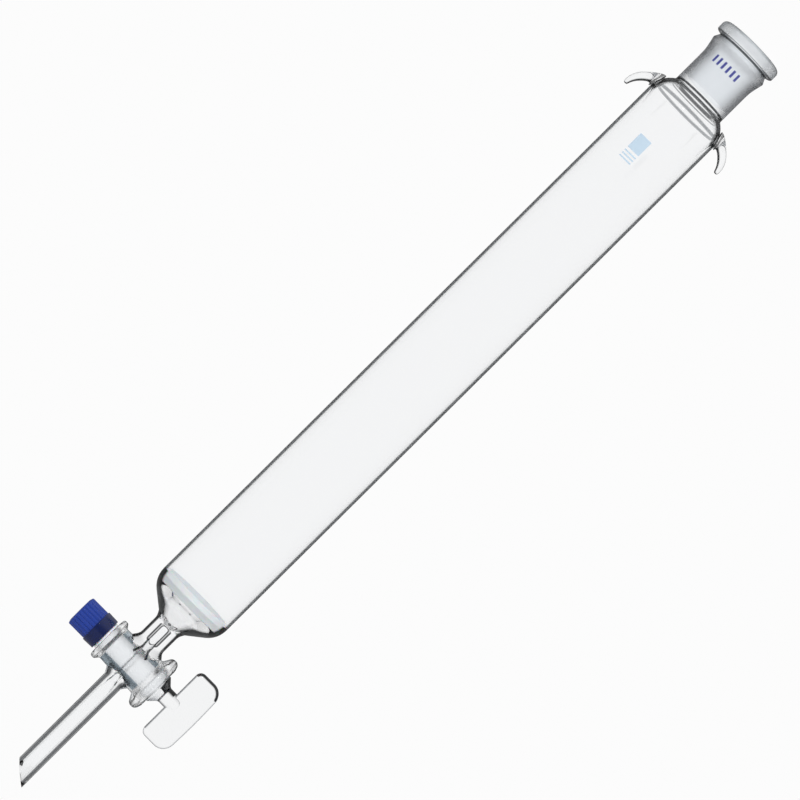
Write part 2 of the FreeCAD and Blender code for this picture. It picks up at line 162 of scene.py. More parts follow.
def shared_group(
    name: str, inputs: dict[str, float], outputs: Sequence[str], fill: Callable[[NodeTree], None]
) -> NodeTree:
    """Builds a shader group, or returns it if it exists. Its sockets are all floats.

    Args:
        name: The group's name.
        inputs: Default value of each input, by name.
        outputs: Names of its outputs.
        fill: Builds its nodes between the nodes named "in" and "out".

    Returns:
        The group.
    """
    if name in bpy.data.node_groups:
        return bpy.data.node_groups[name]
    group = bpy.data.node_groups.new(name, "ShaderNodeTree")
    for label, value in inputs.items():
        socket = group.interface.new_socket(label, in_out="INPUT", socket_type="NodeSocketFloat")
        socket.default_value = value
    for label in outputs:
        group.interface.new_socket(label, in_out="OUTPUT", socket_type="NodeSocketFloat")
    group.nodes.new("NodeGroupInput").name = "in"
    group.nodes.new("NodeGroupOutput").name = "out"
    fill(group)
    return group


def fill_grain(group: NodeTree) -> None:
    """Builds a fine noise and a mask that stretches it about its middle."""
    nodes, links = group.nodes, group.links
    noise = nodes.new("ShaderNodeTexNoise")
    noise.inputs["Detail"].default_value = 3.0
    noise.inputs["Roughness"].default_value = 0.6
    links.new(object_place(group), noise.inputs["Vector"])
    links.new(nodes["in"].outputs["Scale"], noise.inputs["Scale"])
    centred = calculate(group, "SUBTRACT", noise.outputs["Fac"], 0.5)
    mask = calculate(group, "MULTIPLY_ADD", centred.outputs[0], nodes["in"].outputs["Contrast"], 0.5)
    mask.use_clamp = True
    links.new(noise.outputs["Fac"], nodes["out"].inputs["Height"])
    links.new(mask.outputs[0], nodes["out"].inputs["Mask"])


def grain_group() -> NodeTree:
    """Fine grain on Object coordinates, as on ground or sintered glass: a height and a mask."""
    return shared_group("fine_grain", {"Scale": 1000.0, "Contrast": 1.0}, ("Height", "Mask"), fill_grain)


def fill_drift(group: NodeTree) -> None:
    """Builds a slow noise that is long along the tube and short across it."""
    nodes, links = group.nodes, group.links
    stretch = nodes.new("ShaderNodeMapping")
    stretch.inputs["Scale"].default_value = (1.0, 1.0, 0.08)
    links.new(object_place(group), stretch.inputs["Vector"])
    noise = nodes.new("ShaderNodeTexNoise")
    noise.inputs["Detail"].default_value = 2.0
    links.new(stretch.outputs["Vector"], noise.inputs["Vector"])
    links.new(nodes["in"].outputs["Scale"], noise.inputs["Scale"])
    links.new(noise.outputs["Fac"], nodes["out"].inputs["Height"])


def drift_group() -> NodeTree:
    """Slow unevenness of drawn glass: a height."""
    return shared_group("drawn_glass_drift", {"Scale": 120.0}, ("Height",), fill_drift)


def band_mask(tree: NodeTree, value: NodeSocket, centre: Level, half: Level, soft: Level) -> NodeSocket:
    """A soft-edged band about one value.

    Args:
        tree: The node tree.
        value: What the band is laid on.
        centre: Its middle.
        half: Half its width.
        soft: Width of its soft edge.

    Returns:
        The mask's socket.
    """
    offset = calculate(tree, "SUBTRACT", value, centre)
    away = calculate(tree, "ABSOLUTE", offset.outputs[0])
    end = calculate(tree, "ADD", half, soft)
    return fade(tree, away.outputs[0], half, end.outputs[0], 1.0, 0.0)


def fill_height_band(group: NodeTree) -> None:
    """Builds a band on the height of the piece's own surface."""
    split = group.nodes.new("ShaderNodeSeparateXYZ")
    group.links.new(object_place(group), split.inputs["Vector"])
    given = group.nodes["in"].outputs
    mask = band_mask(group, split.outputs["Z"], given["Centre"], given["Half"], given["Soft"])
    group.links.new(mask, group.nodes["out"].inputs["Mask"])


def height_band_group() -> NodeTree:
    """A soft-edged band across a piece at one height: a mask."""
    inputs = {"Centre": 0.0, "Half": 1.0 * MM, "Soft": 0.5 * MM}
    return shared_group("height_band", inputs, ("Mask",), fill_height_band)


def place_group(material: Material, group: NodeTree, values: dict[str, float]) -> Node:
    """Puts a group into a material with its own values and returns the node."""
    node = material.node_tree.nodes.new("ShaderNodeGroup")
    node.node_tree = group
    for label, value in values.items():
        node.inputs[label].default_value = value
    return node


def new_material(name: str) -> tuple[Material, Node]:
    """Starts a material.

    Args:
        name: The material's name.

    Returns:
        The material and its Principled shader.
    """
    material = bpy.data.materials.new(name)
    material.use_nodes = True
    return material, material.node_tree.nodes["Principled BSDF"]


def bump(material: Material, shader: Node, height: NodeSocket, depth: float) -> None:
    """Feeds a height socket into the shader's Normal through a bump of this depth in metres."""
    tree = material.node_tree
    node = tree.nodes.new("ShaderNodeBump")
    node.inputs["Distance"].default_value = depth
    tree.links.new(height, node.inputs["Height"])
    tree.links.new(node.outputs["Normal"], shader.inputs["Normal"])


def mix_colours(
    material: Material, factor: NodeSocket, low: Colour | NodeSocket, high: Colour
) -> NodeSocket:
    """A colour mix by a factor socket.

    Args:
        material: The material that holds the mix.
        factor: The output socket that drives it.
        low: Colour at a factor of 0, or the socket that gives it.
        high: Colour at a factor of 1.

    Returns:
        The mixed colour's socket.
    """
    tree = material.node_tree
    node = tree.nodes.new("ShaderNodeMix")
    node.data_type = "RGBA"
    first, second = (socket for socket in node.inputs if socket.type == "RGBA")
    feed(tree, first, low if isinstance(low, NodeSocket) else (*low, 1.0))
    feed(tree, second, (*high, 1.0))
    tree.links.new(factor, node.inputs["Factor"])
    return next(socket for socket in node.outputs if socket.type == "RGBA")


# --------------------------------------------------------------------------------------------------- finishes


@dataclass(frozen=True)
class Ring:
    """A painted dark line round the glass, standing in for the shade where a bend or weld bends the view: its
    height, half width and colour.
    """

    height: float
    half: float
    colour: Colour
    soft: float = 0.4 * MM


@dataclass(frozen=True)
class Line:
    """A painted dark line along a thick-walled piece, standing in for the shade where the wall bends the
    view: its facing value and colour.
    """

    facing: float
    half: float
    colour: Colour
    soft: float = 0.03


@dataclass(frozen=True)
class Finish:
    """What a face is made of.

    Attributes:
        name: The material's name.
    """

    name: str

    def make(self) -> Material:
        """Builds the material, or returns it if it exists."""
        if self.name in bpy.data.materials:
            return bpy.data.materials[self.name]
        material, shader = new_material(self.name)
        self.fill(material, shader)
        return material

    def fill(self, material: Material, shader: Node) -> None:
        """Sets up a new material and its Principled shader."""
        raise NotImplementedError


@dataclass(frozen=True)
class Glass(Finish):
    """Clear or ground borosilicate glass with painted shade: its colour darkens where the wall is seen edge
    on, standing in for the dark surround that the wall bends and mirrors there.

    Attributes:
        body: Colour where the surface faces the eye.
        rim: Painted shade colour where it is seen edge on.
        rim_from: Facing value at which the rim colour starts.
        rim_to: Facing value at which it is complete.
        roughness: 0 for polished glass, about 0.4 for ground glass.
        grain: Depth of the ground relief in metres, or 0.
        drift: Depth of the slow unevenness in metres, or 0.
        shade: Share of light that the glass keeps from what lies behind it.
        ior: Index of refraction.
        grain_scale: Scale of the ground relief.
        drift_scale: Scale of the slow unevenness.
        rings: Painted dark lines round the glass, standing in for shade.
        lines: Painted dark lines along it, standing in for shade.
    """

    body: Colour = (0.97, 0.975, 0.98)
    rim: Colour = (0.05, 0.06, 0.07)
    rim_from: float = 0.5
    rim_to: float = 0.7
    roughness: float = 0.0
    grain: float = 0.0
    drift: float = 0.0
    shade: float = 0.05
    ior: float = 1.47
    grain_scale: float = 3500.0
    drift_scale: float = 140.0
    rings: tuple[Ring, ...] = ()
    lines: tuple[Line, ...] = ()

    def fill(self, material: Material, shader: Node) -> None:
        """Sets up the glass, which lets most of the light of a shadow ray through."""
        tree = material.node_tree
        shader.inputs["Transmission Weight"].default_value = 1.0
        shader.inputs["IOR"].default_value = self.ior
        shader.inputs["Roughness"].default_value = self.roughness
        shader.inputs["Metallic"].default_value = 0.0
        tree.links.new(self._colour(material), shader.inputs["Base Color"])
        self._relief(material, shader)
        light = tree.nodes.new("ShaderNodeLightPath")
        passing = calculate(tree, "MULTIPLY_ADD", light.outputs["Is Shadow Ray"], self.shade - 1.0, 1.0)
        tree.links.new(passing.outputs[0], shader.inputs["Alpha"])

    def _colour(self, material: Material) -> NodeSocket:
        """The glass's colour, with painted shade where it is seen edge on, and painted dark lines and rings.
        """
        tree = material.node_tree
        weight = tree.nodes.new("ShaderNodeLayerWeight")
        weight.inputs["Blend"].default_value = 0.5
        facing = weight.outputs["Facing"]
        # Painted shade: the colour goes over to the rim colour where the surface is seen edge on.
        colour = mix_colours(material, fade(tree, facing, self.rim_from, self.rim_to), self.body, self.rim)
        for line in self.lines:
            mask = band_mask(tree, facing, line.facing, line.half, line.soft)
            colour = mix_colours(material, mask, colour, line.colour)
        for ring in self.rings:
            values = {"Centre": ring.height, "Half": ring.half, "Soft": ring.soft}
            mask = place_group(material, height_band_group(), values).outputs["Mask"]
            colour = mix_colours(material, mask, colour, ring.colour)
        return colour

    def _relief(self, material: Material, shader: Node) -> None:
        """Adds the ground grain or the drawn unevenness."""
        if self.grain:
            grain = place_group(material, grain_group(), {"Scale": self.grain_scale})
            bump(material, shader, grain.outputs["Height"], self.grain)
        elif self.drift:
            drift = place_group(material, drift_group(), {"Scale": self.drift_scale})
            bump(material, shader, drift.outputs["Height"], self.drift)


@dataclass(frozen=True)
class Weld(Finish):
    """The face where two fused pieces of glass meet. It doesn't show, because the glass runs through it."""

    def fill(self, material: Material, shader: Node) -> None:
        """Makes the face clear."""
        shader.inputs["Base Color"].default_value = (1.0, 1.0, 1.0, 1.0)
        shader.inputs["Alpha"].default_value = 0.0


@dataclass(frozen=True)
class Solid(Finish):
    """An opaque or waxy finish with a two-tone grain.

    Attributes:
        low: Colour in the grain's hollows.
        high: Colour on its tops.
        roughness: Roughness of the surface.
        scale: Scale of the grain.
        contrast: How far the grain's two colours part.
        relief: Depth of the grain in metres.
        coat: Weight of a clear gloss over the colour.
        subsurface: Weight of light that spreads under the surface.
        coat_roughness: Roughness of that gloss.
        spread: How far that light spreads, in metres.
    """

    low: Colour
    high: Colour
    roughness: float = 0.5
    scale: float = 900.0
    contrast: float = 1.0
    relief: float = 0.0
    coat: float = 0.0
    subsurface: float = 0.0
    coat_roughness: float = 0.08
    spread: float = 0.5 * MM

    def fill(self, material: Material, shader: Node) -> None:
        """Sets up the grain's colours, its relief and the gloss."""
        grain = place_group(material, grain_group(), {"Scale": self.scale, "Contrast": self.contrast})
        colour = mix_colours(material, grain.outputs["Mask"], self.low, self.high)
        material.node_tree.links.new(colour, shader.inputs["Base Color"])
        shader.inputs["Roughness"].default_value = self.roughness
        shader.inputs["Coat Weight"].default_value = self.coat
        shader.inputs["Coat Roughness"].default_value = self.coat_roughness
        shader.inputs["Subsurface Weight"].default_value = self.subsurface
        shader.inputs["Subsurface Scale"].default_value = self.spread
        if self.relief:
            bump(material, shader, grain.outputs["Height"], self.relief)


WELD = Weld("fused_weld")
# Painted shade: a near-black line at the weld's height, on the shoulder and the socket, standing in for the
# shade at the fused seam.
WELD_SHADE_RING = Ring(157.6 * MM, 0.35 * MM, (0.010, 0.011, 0.012))
# Each glass below paints shade into its colour through its rim colour, and some also through painted dark
# rings and lines.
BARREL_GLASS = Glass("barrel_glass", rim_from=0.58, rim_to=0.68, rim=(0.03, 0.033, 0.036), drift=0.01 * MM)
BORE_GLASS = Glass("bore_glass", body=(0.985, 0.987, 0.99), rim=(0.6, 0.62, 0.65), rim_from=0.8, rim_to=0.97)
# Painted shade: a near-black rim where the shoulder is seen edge on, the weld line, and a grey line at the
# corner under the neck.
SHOULDER_GLASS = Glass(
    "shoulder_glass", rim=(0.0015, 0.0017, 0.002), rim_from=0.46, rim_to=0.60,
    rings=(WELD_SHADE_RING, Ring(155.9 * MM, 0.15 * MM, (0.12, 0.13, 0.14), 0.3 * MM)),
)
# Painted shade: a dark band round the inside of the shoulder's bend.
SHOULDER_BORE = Glass(
    "shoulder_bore_glass", body=(0.985, 0.987, 0.99), rim=(0.5, 0.52, 0.55), rim_from=0.6, rim_to=0.9,
    rings=(Ring(149.2 * MM, 0.4 * MM, (0.14, 0.15, 0.16), 0.6 * MM),),
)
# Painted shade: the socket's rim colour, the weld line and a second dark line higher up the socket.
SOCKET_GLASS = Glass(
    "socket_glass", body=(0.95, 0.96, 0.97), rim=(0.12, 0.125, 0.135), rim_from=0.08, rim_to=0.6,
    rings=(WELD_SHADE_RING, Ring(183.3 * MM, 0.35 * MM, (0.02, 0.022, 0.024))),
)
RIM_GLASS = Glass("rolled_rim_glass", rim=(0.22, 0.24, 0.26), rim_from=0.06, rim_to=0.7)
GROUND_GLASS = Glass(
    "ground_bore_glass", body=(0.84, 0.87, 0.9), rim=(0.3, 0.33, 0.36), rim_from=0.2, rim_to=0.95,
    roughness=0.42, grain=0.03 * MM,
)
CONE_GLASS = Glass("cone_glass", rim=(0.0006, 0.0007, 0.0008), rim_from=0.45, rim_to=0.56)
# Painted shade: a near-black rim, and a dark line along the arm where its thick wall bends the view of the
# bore's edge.
ARM_GLASS = Glass(
    "arm_glass", rim=(0.0012, 0.0013, 0.0014), rim_from=0.34, rim_to=0.46,
    lines=(Line(0.045, 0.009, (0.012, 0.013, 0.014), 0.010),),
)
ARM_BORE = Glass("waterway_glass", rim=(0.3, 0.31, 0.32), rim_from=0.45, rim_to=0.8)
# Painted shade: a broad dark band along the stem where its thick wall bends the view.
STEM_GLASS = Glass(
    "stem_glass", rim=(0.6, 0.62, 0.64), rim_from=0.6, rim_to=0.9,
    lines=(Line(0.38, 0.13, (0.03, 0.032, 0.035), 0.12),),
)
SHELL_GLASS = Glass(
    "shell_glass", body=(0.985, 0.99, 0.995), rim=(0.3, 0.33, 0.36), rim_from=0.6, rim_to=0.9,
    # Painted shade: a grey band along the shell's top and a darker blue-grey band along its underside.
    rings=(
        Ring(-178.3 * MM, 0.8 * MM, (0.20, 0.26, 0.31), 0.6 * MM),
        Ring(-191.5 * MM, 1.5 * MM, (0.12, 0.17, 0.21), 0.8 * MM),
    ),
)
BEAD_GLASS = Glass("bead_glass", body=(0.985, 0.99, 0.995), rim=(0.25, 0.28, 0.3), rim_from=0.55, rim_to=0.9)
SHELL_SEAT = Glass(
    "ground_seat_glass", body=(0.97, 0.98, 0.99), rim=(0.5, 0.54, 0.58), rim_from=0.4, rim_to=0.95,
    roughness=0.3, grain=0.015 * MM,
)
HOOK_GLASS = Glass("hook_glass", rim=(0.25, 0.26, 0.28), rim_from=0.6, rim_to=0.9)
# Painted shade: a copy of the hook's glass for its underside, near-black wherever it isn't seen face on.
HOOK_SHADED_UNDERSIDE = Glass("hook_shaded_underside_glass", rim=(0.0006, 0.0007, 0.0008), rim_from=0.03, rim_to=0.2)
KEY_GLASS = Glass(
    "polished_key_glass", body=(0.95, 0.955, 0.96), rim=(0.06, 0.065, 0.07), rim_from=0.12, rim_to=0.4
)
# Painted shade: copies of the key's glass, near-black at the rim for faces that lean up, and grey at the rim
# for faces that lean down or out.
KEY_CREST_SHADE = Glass("key_crest_shade_glass", rim=(0.0008, 0.0009, 0.001), rim_from=0.03, rim_to=0.18)
KEY_FAR_EDGE_SHADE = Glass(
    "key_far_edge_shade_glass", body=(0.95, 0.955, 0.96), rim=(0.3, 0.31, 0.33), rim_from=0.25, rim_to=0.6
)
KEY_SEAT = Glass(
    "ground_plug_glass", body=(0.97, 0.98, 0.99), rim=(0.5, 0.54, 0.58), rim_from=0.4, rim_to=0.95,
    roughness=0.3, grain=0.015 * MM,
)
# Painted light and shade: copies of the sintered glass, lighter on the disc's edge and darker on its flat
# faces.
SINTER = Solid(
    "sintered_lit_side_glass", (0.87, 0.935, 0.96), (0.94, 0.975, 1.0), roughness=0.9, scale=2600.0, contrast=2.0,
    relief=0.08 * MM, subsurface=0.3,
)
SINTER_SHADED_FACE = Solid(
    "sintered_shaded_face_glass", (0.64, 0.70, 0.74), (0.76, 0.79, 0.82), roughness=0.9, scale=2600.0, contrast=2.0,
    relief=0.08 * MM, subsurface=0.3,
)
PTFE = Solid("ptfe_white", (0.80, 0.80, 0.85), (0.86, 0.86, 0.90), roughness=0.4, scale=600.0, subsurface=0.3)
RUBBER = Solid("pale_silicone", (0.60, 0.63, 0.66), (0.70, 0.72, 0.75), roughness=0.6, relief=0.01 * MM)
NUT_PLASTIC = Solid(
    "blue_moulded_plastic", (0.007, 0.030, 0.23), (0.010, 0.041, 0.29), roughness=0.3, scale=1500.0,
    relief=0.004 * MM, coat=0.3,
)
# Painted shade: the skirt's colour is a darker copy of the grip's blue; its lower roughness and stronger coat
# are its real gloss.
SKIRT_SHADED_PLASTIC = Solid(
    "blue_polished_shaded_plastic", (0.002, 0.007, 0.05), (0.003, 0.010, 0.075), roughness=0.18, scale=1500.0,
    relief=0.002 * MM, coat=0.6,
)
ENAMEL = Solid("blue_enamel", (0.03, 0.04, 0.22), (0.07, 0.08, 0.30), roughness=0.45, scale=5000.0)
ETCH = Solid("write_on_enamel", (0.40, 0.50, 0.60), (0.48, 0.60, 0.70), roughness=0.7, scale=4000.0)


# ------------------------------------------------------------------------------------------ modelling by hand


@dataclass(frozen=True)
class Corner:
    """A corner of a turned outline: distance from the axis, place along it and the radius that rounds it."""

    across: float
    along: float
    rounding: float = 0.0


def arc_points(before: Vector, here: Vector, after: Vector, radius: float) -> list[Vector]:
    """The points of an arc that rounds a corner.

    Args:
        before: The corner before it.
        here: The corner itself.
        after: The corner after it.
        radius: Radius of the arc.

    Returns:
        Points along the arc, ends included.
    """
    back = (before - here).normalized()
    ahead = (after - here).normalized()
    half = back.angle(ahead) / 2
    centre = here + (back + ahead).normalized() * (radius / math.sin(half))
    turn = math.pi - 2 * half
    steps = max(2, math.ceil(math.degrees(turn) / ARC_STEP))
    start = here + back * (radius / math.tan(half)) - centre
    side = 1.0 if back.x * ahead.y - back.y * ahead.x < 0 else -1.0
    points = []
    for i in range(steps + 1):
        angle = side * turn * i / steps
        turned = Vector((
            start.x * math.cos(angle) - start.y * math.sin(angle),
            start.x * math.sin(angle) + start.y * math.cos(angle),
        ))
        points.append(centre + turned)
    return points


def outline(corners: Sequence[Corner], closed: bool, longest: float = 0.0) -> list[Vector]:
    """The points of an outline with its round corners.

    Args:
        corners: The outline's corners.
        closed: Whether the last corner joins the first.
        longest: Longest straight step, or 0 for no limit.

    Returns:
        (across, along) points in order.
    """
    flat = [Vector((corner.across, corner.along)) for corner in corners]
    count = len(corners)
    points: list[Vector] = []
    for i, corner in enumerate(corners):
        inner = closed or 0 < i < count - 1
        if corner.rounding and inner:
            new = arc_points(flat[i - 1], flat[i], flat[(i + 1) % count], corner.rounding)
        else:
            new = [flat[i]]
        if points and longest:
            gap = new[0] - points[-1]
            cuts = math.ceil(gap.length / longest)
            points += [points[-1] + gap * (k / cuts) for k in range(1, cuts)]
        points += new
    return points


def deselect_all() -> None:
    """Leaves object mode's selection empty."""
    if bpy.context.object and bpy.context.object.mode != "OBJECT":
        bpy.ops.object.mode_set(mode="OBJECT")
    bpy.ops.object.select_all(action="DESELECT")


def activate(piece: Object) -> None:
    """Makes a piece the only selected object."""
    deselect_all()
    piece.select_set(True)
    bpy.context.view_layer.objects.active = piece


def settle(piece: Object, name: str) -> Object:
    """Names a piece and puts its place into its mesh.

    Args:
        piece: The piece, in any mode.
        name: Its new name.

    Returns:
        The piece, at the origin, unturned and unscaled.
    """
    activate(piece)
    bpy.ops.object.transform_apply(location=True, rotation=True, scale=True)
    piece.name = name
    piece.data.name = name
    return piece


def tidy_shell(merge: float = 1e-7) -> None:
    """Merges doubles and turns every face outwards, in edit mode."""
    bpy.ops.mesh.select_all(action="SELECT")
    bpy.ops.mesh.remove_doubles(threshold=merge)
    bpy.ops.mesh.normals_make_consistent(inside=False)
    bpy.ops.object.mode_set(mode="OBJECT")


@dataclass
class Lathe:
    """Turns outlines about the barrel's axis or the key's axis.

    Attributes:
        key_height: Height of the key's axis.
        steps: Faces round a full turn.
    """

    key_height: float
    steps: int = 128

    def point(self, axis: Axis, across: float, along: float) -> Vector:
        """The place of an outline's point in the frame."""
        if axis is Axis.BARREL:
            return Vector((across, 0.0, along))
        return Vector((along, 0.0, self.key_height + across))

    def across(self, axis: Axis, place: Vector) -> float:
        """Distance of a place from the axis."""
        if axis is Axis.BARREL:
            return math.hypot(place.x, place.y)
        return math.hypot(place.y, place.z - self.key_height)

    def along(self, axis: Axis, place: Vector) -> float:
        """Position of a place along the axis."""
        return place.z if axis is Axis.BARREL else place.x

    def outward(self, axis: Axis, place: Vector) -> Vector:
        """Unit vector from the axis to a place."""
        if axis is Axis.BARREL:
            return Vector((place.x, place.y, 0.0)).normalized()
        return Vector((0.0, place.y, place.z - self.key_height)).normalized()

    def turn(
        self, name: str, corners: Sequence[Corner], axis: Axis, closed: bool = True, longest: float = 0.0
    ) -> Object:
        """Draws an outline point by point and spins it into a closed piece.

        Args:
            name: The piece's name.
            corners: The outline. An open one starts and ends on the axis.
            axis: What it turns about.
            closed: Whether the outline is a ring clear of the axis.
            longest: Longest straight step along the outline, or 0 for no limit.

        Returns:
            The finished mesh object.
        """
        points = [self.point(axis, p.x, p.y) for p in outline(corners, closed, longest)]
        if closed:
            points.append(points[0])
        deselect_all()
        bpy.ops.mesh.primitive_plane_add(size=MM, location=points[0])
        piece = bpy.context.object
        bpy.ops.object.mode_set(mode="EDIT")
        bpy.ops.mesh.select_mode(type="VERT")
        bpy.ops.mesh.select_all(action="SELECT")
        bpy.ops.mesh.merge(type="CENTER")
        for here, following in zip(points, points[1:]):
            bpy.ops.mesh.extrude_vertices_move(TRANSFORM_OT_translate={"value": following - here})
        bpy.ops.mesh.select_all(action="SELECT")
        spin_axis = (0.0, 0.0, 1.0) if axis is Axis.BARREL else (1.0, 0.0, 0.0)
        bpy.ops.mesh.spin(
            steps=self.steps, angle=FULL_TURN, center=(0.0, 0.0, self.key_height), axis=spin_axis
        )
        tidy_shell()
        return settle(piece, name)


def smooth(piece: Object, degrees: float = 32.0) -> None:
    """Shades a piece smooth, with edges sharper than the angle left crisp."""
    activate(piece)
    bpy.ops.object.shade_smooth_by_angle(angle=math.radians(degrees))


def combine(piece: Object, other: Object, operation: str) -> None:
    """Cuts another closed piece out of this one or fuses it in, and removes it."""
    activate(piece)
    change = piece.modifiers.new("combine", "BOOLEAN")
    change.operation = operation
    change.solver = "EXACT"
    change.object = other
    bpy.ops.object.modifier_apply(modifier=change.name)
    bpy.data.objects.remove(other)


def bore_through(piece: Object, radius: float, low: float, high: float, steps: int = 48) -> None:
    """Drills a hole along the barrel's axis.

    Args:
        piece: The piece to drill.
        radius: The hole's radius.
        low: Height of the drill's lower end.
        high: Height of its upper end.
        steps: Faces round the hole.
    """
    deselect_all()
    bpy.ops.mesh.primitive_cylinder_add(
        vertices=steps, radius=radius, depth=high - low, location=(0.0, 0.0, (low + high) / 2)
    )
    combine(piece, settle(bpy.context.object, "drill"), "DIFFERENCE")


def move_points(piece: Object, rule: Callable[[Vector], Vector]) -> None:
    """Moves each of a piece's points to where the rule puts it."""
    for vertex in piece.data.vertices:
        vertex.co = rule(vertex.co)
    piece.data.update()


def dress(
    piece: Object, finishes: Sequence[Finish], choose: Callable[[Vector, Vector], int] | None = None
) -> None:
    """Gives each face of a piece one of several finishes.

    Args:
        piece: The piece to dress.
        finishes: The finishes, in slot order.
        choose: Takes a face's centre and normal and returns the slot's number. Without it all is the first.
    """
    piece.data.materials.clear()
    for finish in finishes:
        piece.data.materials.append(finish.make())
    for face in piece.data.polygons:
        face.material_index = choose(face.center, face.normal) if choose else 0


def lies_on(centre: Vector, normal: Vector, *heights: float) -> bool:
    """Whether a face lies flat at one of these heights."""
    near = min(abs(centre.z - height) for height in heights)
    return near < ON_PLANE and abs(normal.z) > SQUARE_ON


def fit_to_model(piece: Object, body: Body, slot: Slot, *nodes: str) -> None:
    """Makes a piece ride on a body, hides the nodes it stands for, and reports it."""
    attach(piece, body.value)
    if nodes:
        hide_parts(*nodes)
    log.info("%s rides on %s, %d faces", piece.name, body.value, len(piece.data.polygons))


# ----------------------------------------------------------------------------------------- the column's glass


@dataclass
class Barrel:
    """The main tube, its shoulder and the 24/29 socket that is sealed to it.

    Attributes:
        lathe: Turns the pieces.
        radius: Outside radius of the tube.
        foot: Height of the weld to the cone.
        neck_weld: Height of the weld to the socket.
        mouth_height: Height of the socket's rim.
        straight: Length of the straight wall.
        bend: Radius of the bend under the shoulder.
        slope: The shoulder's slope.
        ground: Length of the ground bore, from neck_bore up to mouth_bore.
        ground_margin: How far from the rim and the widest bore a face still counts as ground.
        lip_drop: How far the lip stands under the rim's foot, with the groove between them.
        flare_bend: Radius of the soft bend where the flare starts.
    """

    lathe: Lathe
    radius: float
    foot: float
    neck_weld: float
    mouth_height: float
    wall: float = 1.8 * MM
    straight: float = 292.4 * MM
    bend: float = 12.0 * MM
    slope: float = math.radians(40.0)
    neck_radius: float = 13.4 * MM
    neck_bore: float = 10.55 * MM
    mouth_bore: float = 12.0 * MM
    ground: float = 29.0 * MM
    ground_margin: tuple[float, float] = (0.6 * MM, 0.2 * MM)
    rim_radius: float = 16.15 * MM
    rim_height: float = 5.4 * MM
    lip_radius: float = 14.85 * MM
    lip_drop: float = 3.4 * MM
    groove_radius: float = 13.6 * MM
    groove_height: float = 1.0 * MM
    flare_height: float = 6.5 * MM
    flare_bend: float = 20.0 * MM

    @property
    def top(self) -> float:
        """Height at which the straight wall ends."""
        return self.foot + self.straight

    def shoulder_corner(self, inset: float) -> Corner:
        """The bend under the shoulder, on a surface this far inside the outer one."""
        reach = math.tan((math.pi / 2 - self.slope) / 2)
        return Corner(self.radius - inset, self.top + (self.bend - inset) * reach, self.bend - inset)

    def shoulder_height(self, across: float, inset: float) -> float:
        """Height at which the shoulder's slope comes in to a radius."""
        corner = self.shoulder_corner(inset)
        return corner.along + (corner.across - across) * math.tan(self.slope)

    def make_tube(self) -> Object:
        """Turns the tube with its shoulder."""
        tube = self.lathe.turn("barrel_tube", [
            Corner(self.radius, self.foot),
            self.shoulder_corner(0.0),
            Corner(self.neck_radius, self.shoulder_height(self.neck_radius, 0.0), 1.0 * MM),
            Corner(self.neck_radius, self.neck_weld),
            Corner(self.neck_bore, self.neck_weld),
            Corner(self.neck_bore, self.shoulder_height(self.neck_bore, self.wall), 1.5 * MM),
            self.shoulder_corner(self.wall),
            Corner(self.radius - self.wall, self.foot),
        ], Axis.BARREL, longest=25.0 * MM)
        finishes = [BARREL_GLASS, BORE_GLASS, SHOULDER_GLASS, WELD, SHOULDER_BORE]
        dress(tube, finishes, self._tube_finish)
        smooth(tube)
        return tube

    def _tube_finish(self, centre: Vector, normal: Vector) -> int:
        """Slot of a face of the tube: outside, bore, shoulder, weld or shoulder's bore."""
        if lies_on(centre, normal, self.foot, self.neck_weld):
            return 3
        in_shoulder = centre.z > self.top
        if normal.dot(self.lathe.outward(Axis.BARREL, centre)) < 0:
            return 4 if in_shoulder else 1
        return 2 if in_shoulder else 0

    def make_socket(self) -> Object:
        """Turns the socket with its flare, the groove over its lip and its rolled rim."""
        rim_foot = self.mouth_height - self.rim_height
        lip = rim_foot - self.lip_drop
        socket = self.lathe.turn("ground_socket", [
            Corner(self.neck_radius, self.neck_weld),
            Corner(self.neck_radius, lip - self.flare_height, self.flare_bend),
            Corner(self.lip_radius, lip, 0.7 * MM),
            Corner(self.groove_radius, rim_foot - self.groove_height, 0.7 * MM),
            Corner(self.groove_radius, rim_foot),
            Corner(self.rim_radius, rim_foot, 0.9 * MM),
            Corner(self.rim_radius, self.mouth_height, 2.2 * MM),
            Corner(self.mouth_bore, self.mouth_height, 0.5 * MM),
            Corner(self.neck_bore, self.mouth_height - self.ground),
            Corner(self.neck_bore, self.neck_weld),
        ], Axis.BARREL, longest=2.0 * MM)
        dress(socket, [SOCKET_GLASS, GROUND_GLASS, RIM_GLASS, WELD, BORE_GLASS], self._socket_finish)
        smooth(socket)
        return socket

    def _socket_finish(self, centre: Vector, normal: Vector) -> int:
        """Slot of a face of the socket: outside, ground bore, rim, weld or clear bore."""
        if lies_on(centre, normal, self.neck_weld):
            return 3
        inward = normal.dot(self.lathe.outward(Axis.BARREL, centre)) < 0
        below, beside = self.ground_margin
        across = self.lathe.across(Axis.BARREL, centre)
        if inward and centre.z < self.mouth_height - below and across < self.mouth_bore + beside:
            return 1 if centre.z > self.mouth_height - self.ground else 4
        return 2 if centre.z > self.mouth_height - self.rim_height + ON_PLANE else 0

    def socket_radius(self, height: float) -> float:
        """Outside radius of the socket at a height below its lip, with the soft bend under its flare."""
        slope = (self.lip_radius - self.neck_radius) / self.flare_height
        start = self.mouth_height - self.rim_height - self.lip_drop - self.flare_height
        reach = self.flare_bend * math.tan(math.atan(slope) / 2)
        run = max(0.0, height - start + reach)
        if run < reach * (1.0 + math.cos(math.atan(slope))):
            return self.neck_radius + self.flare_bend - math.sqrt(self.flare_bend ** 2 - run ** 2)
        return self.neck_radius + (height - start) * slope


@dataclass
class Station:
    """One section of a swept rod: its centre, its dip below the horizontal in degrees, and its radius."""

    x: float
    z: float
    dip: float
    radius: float


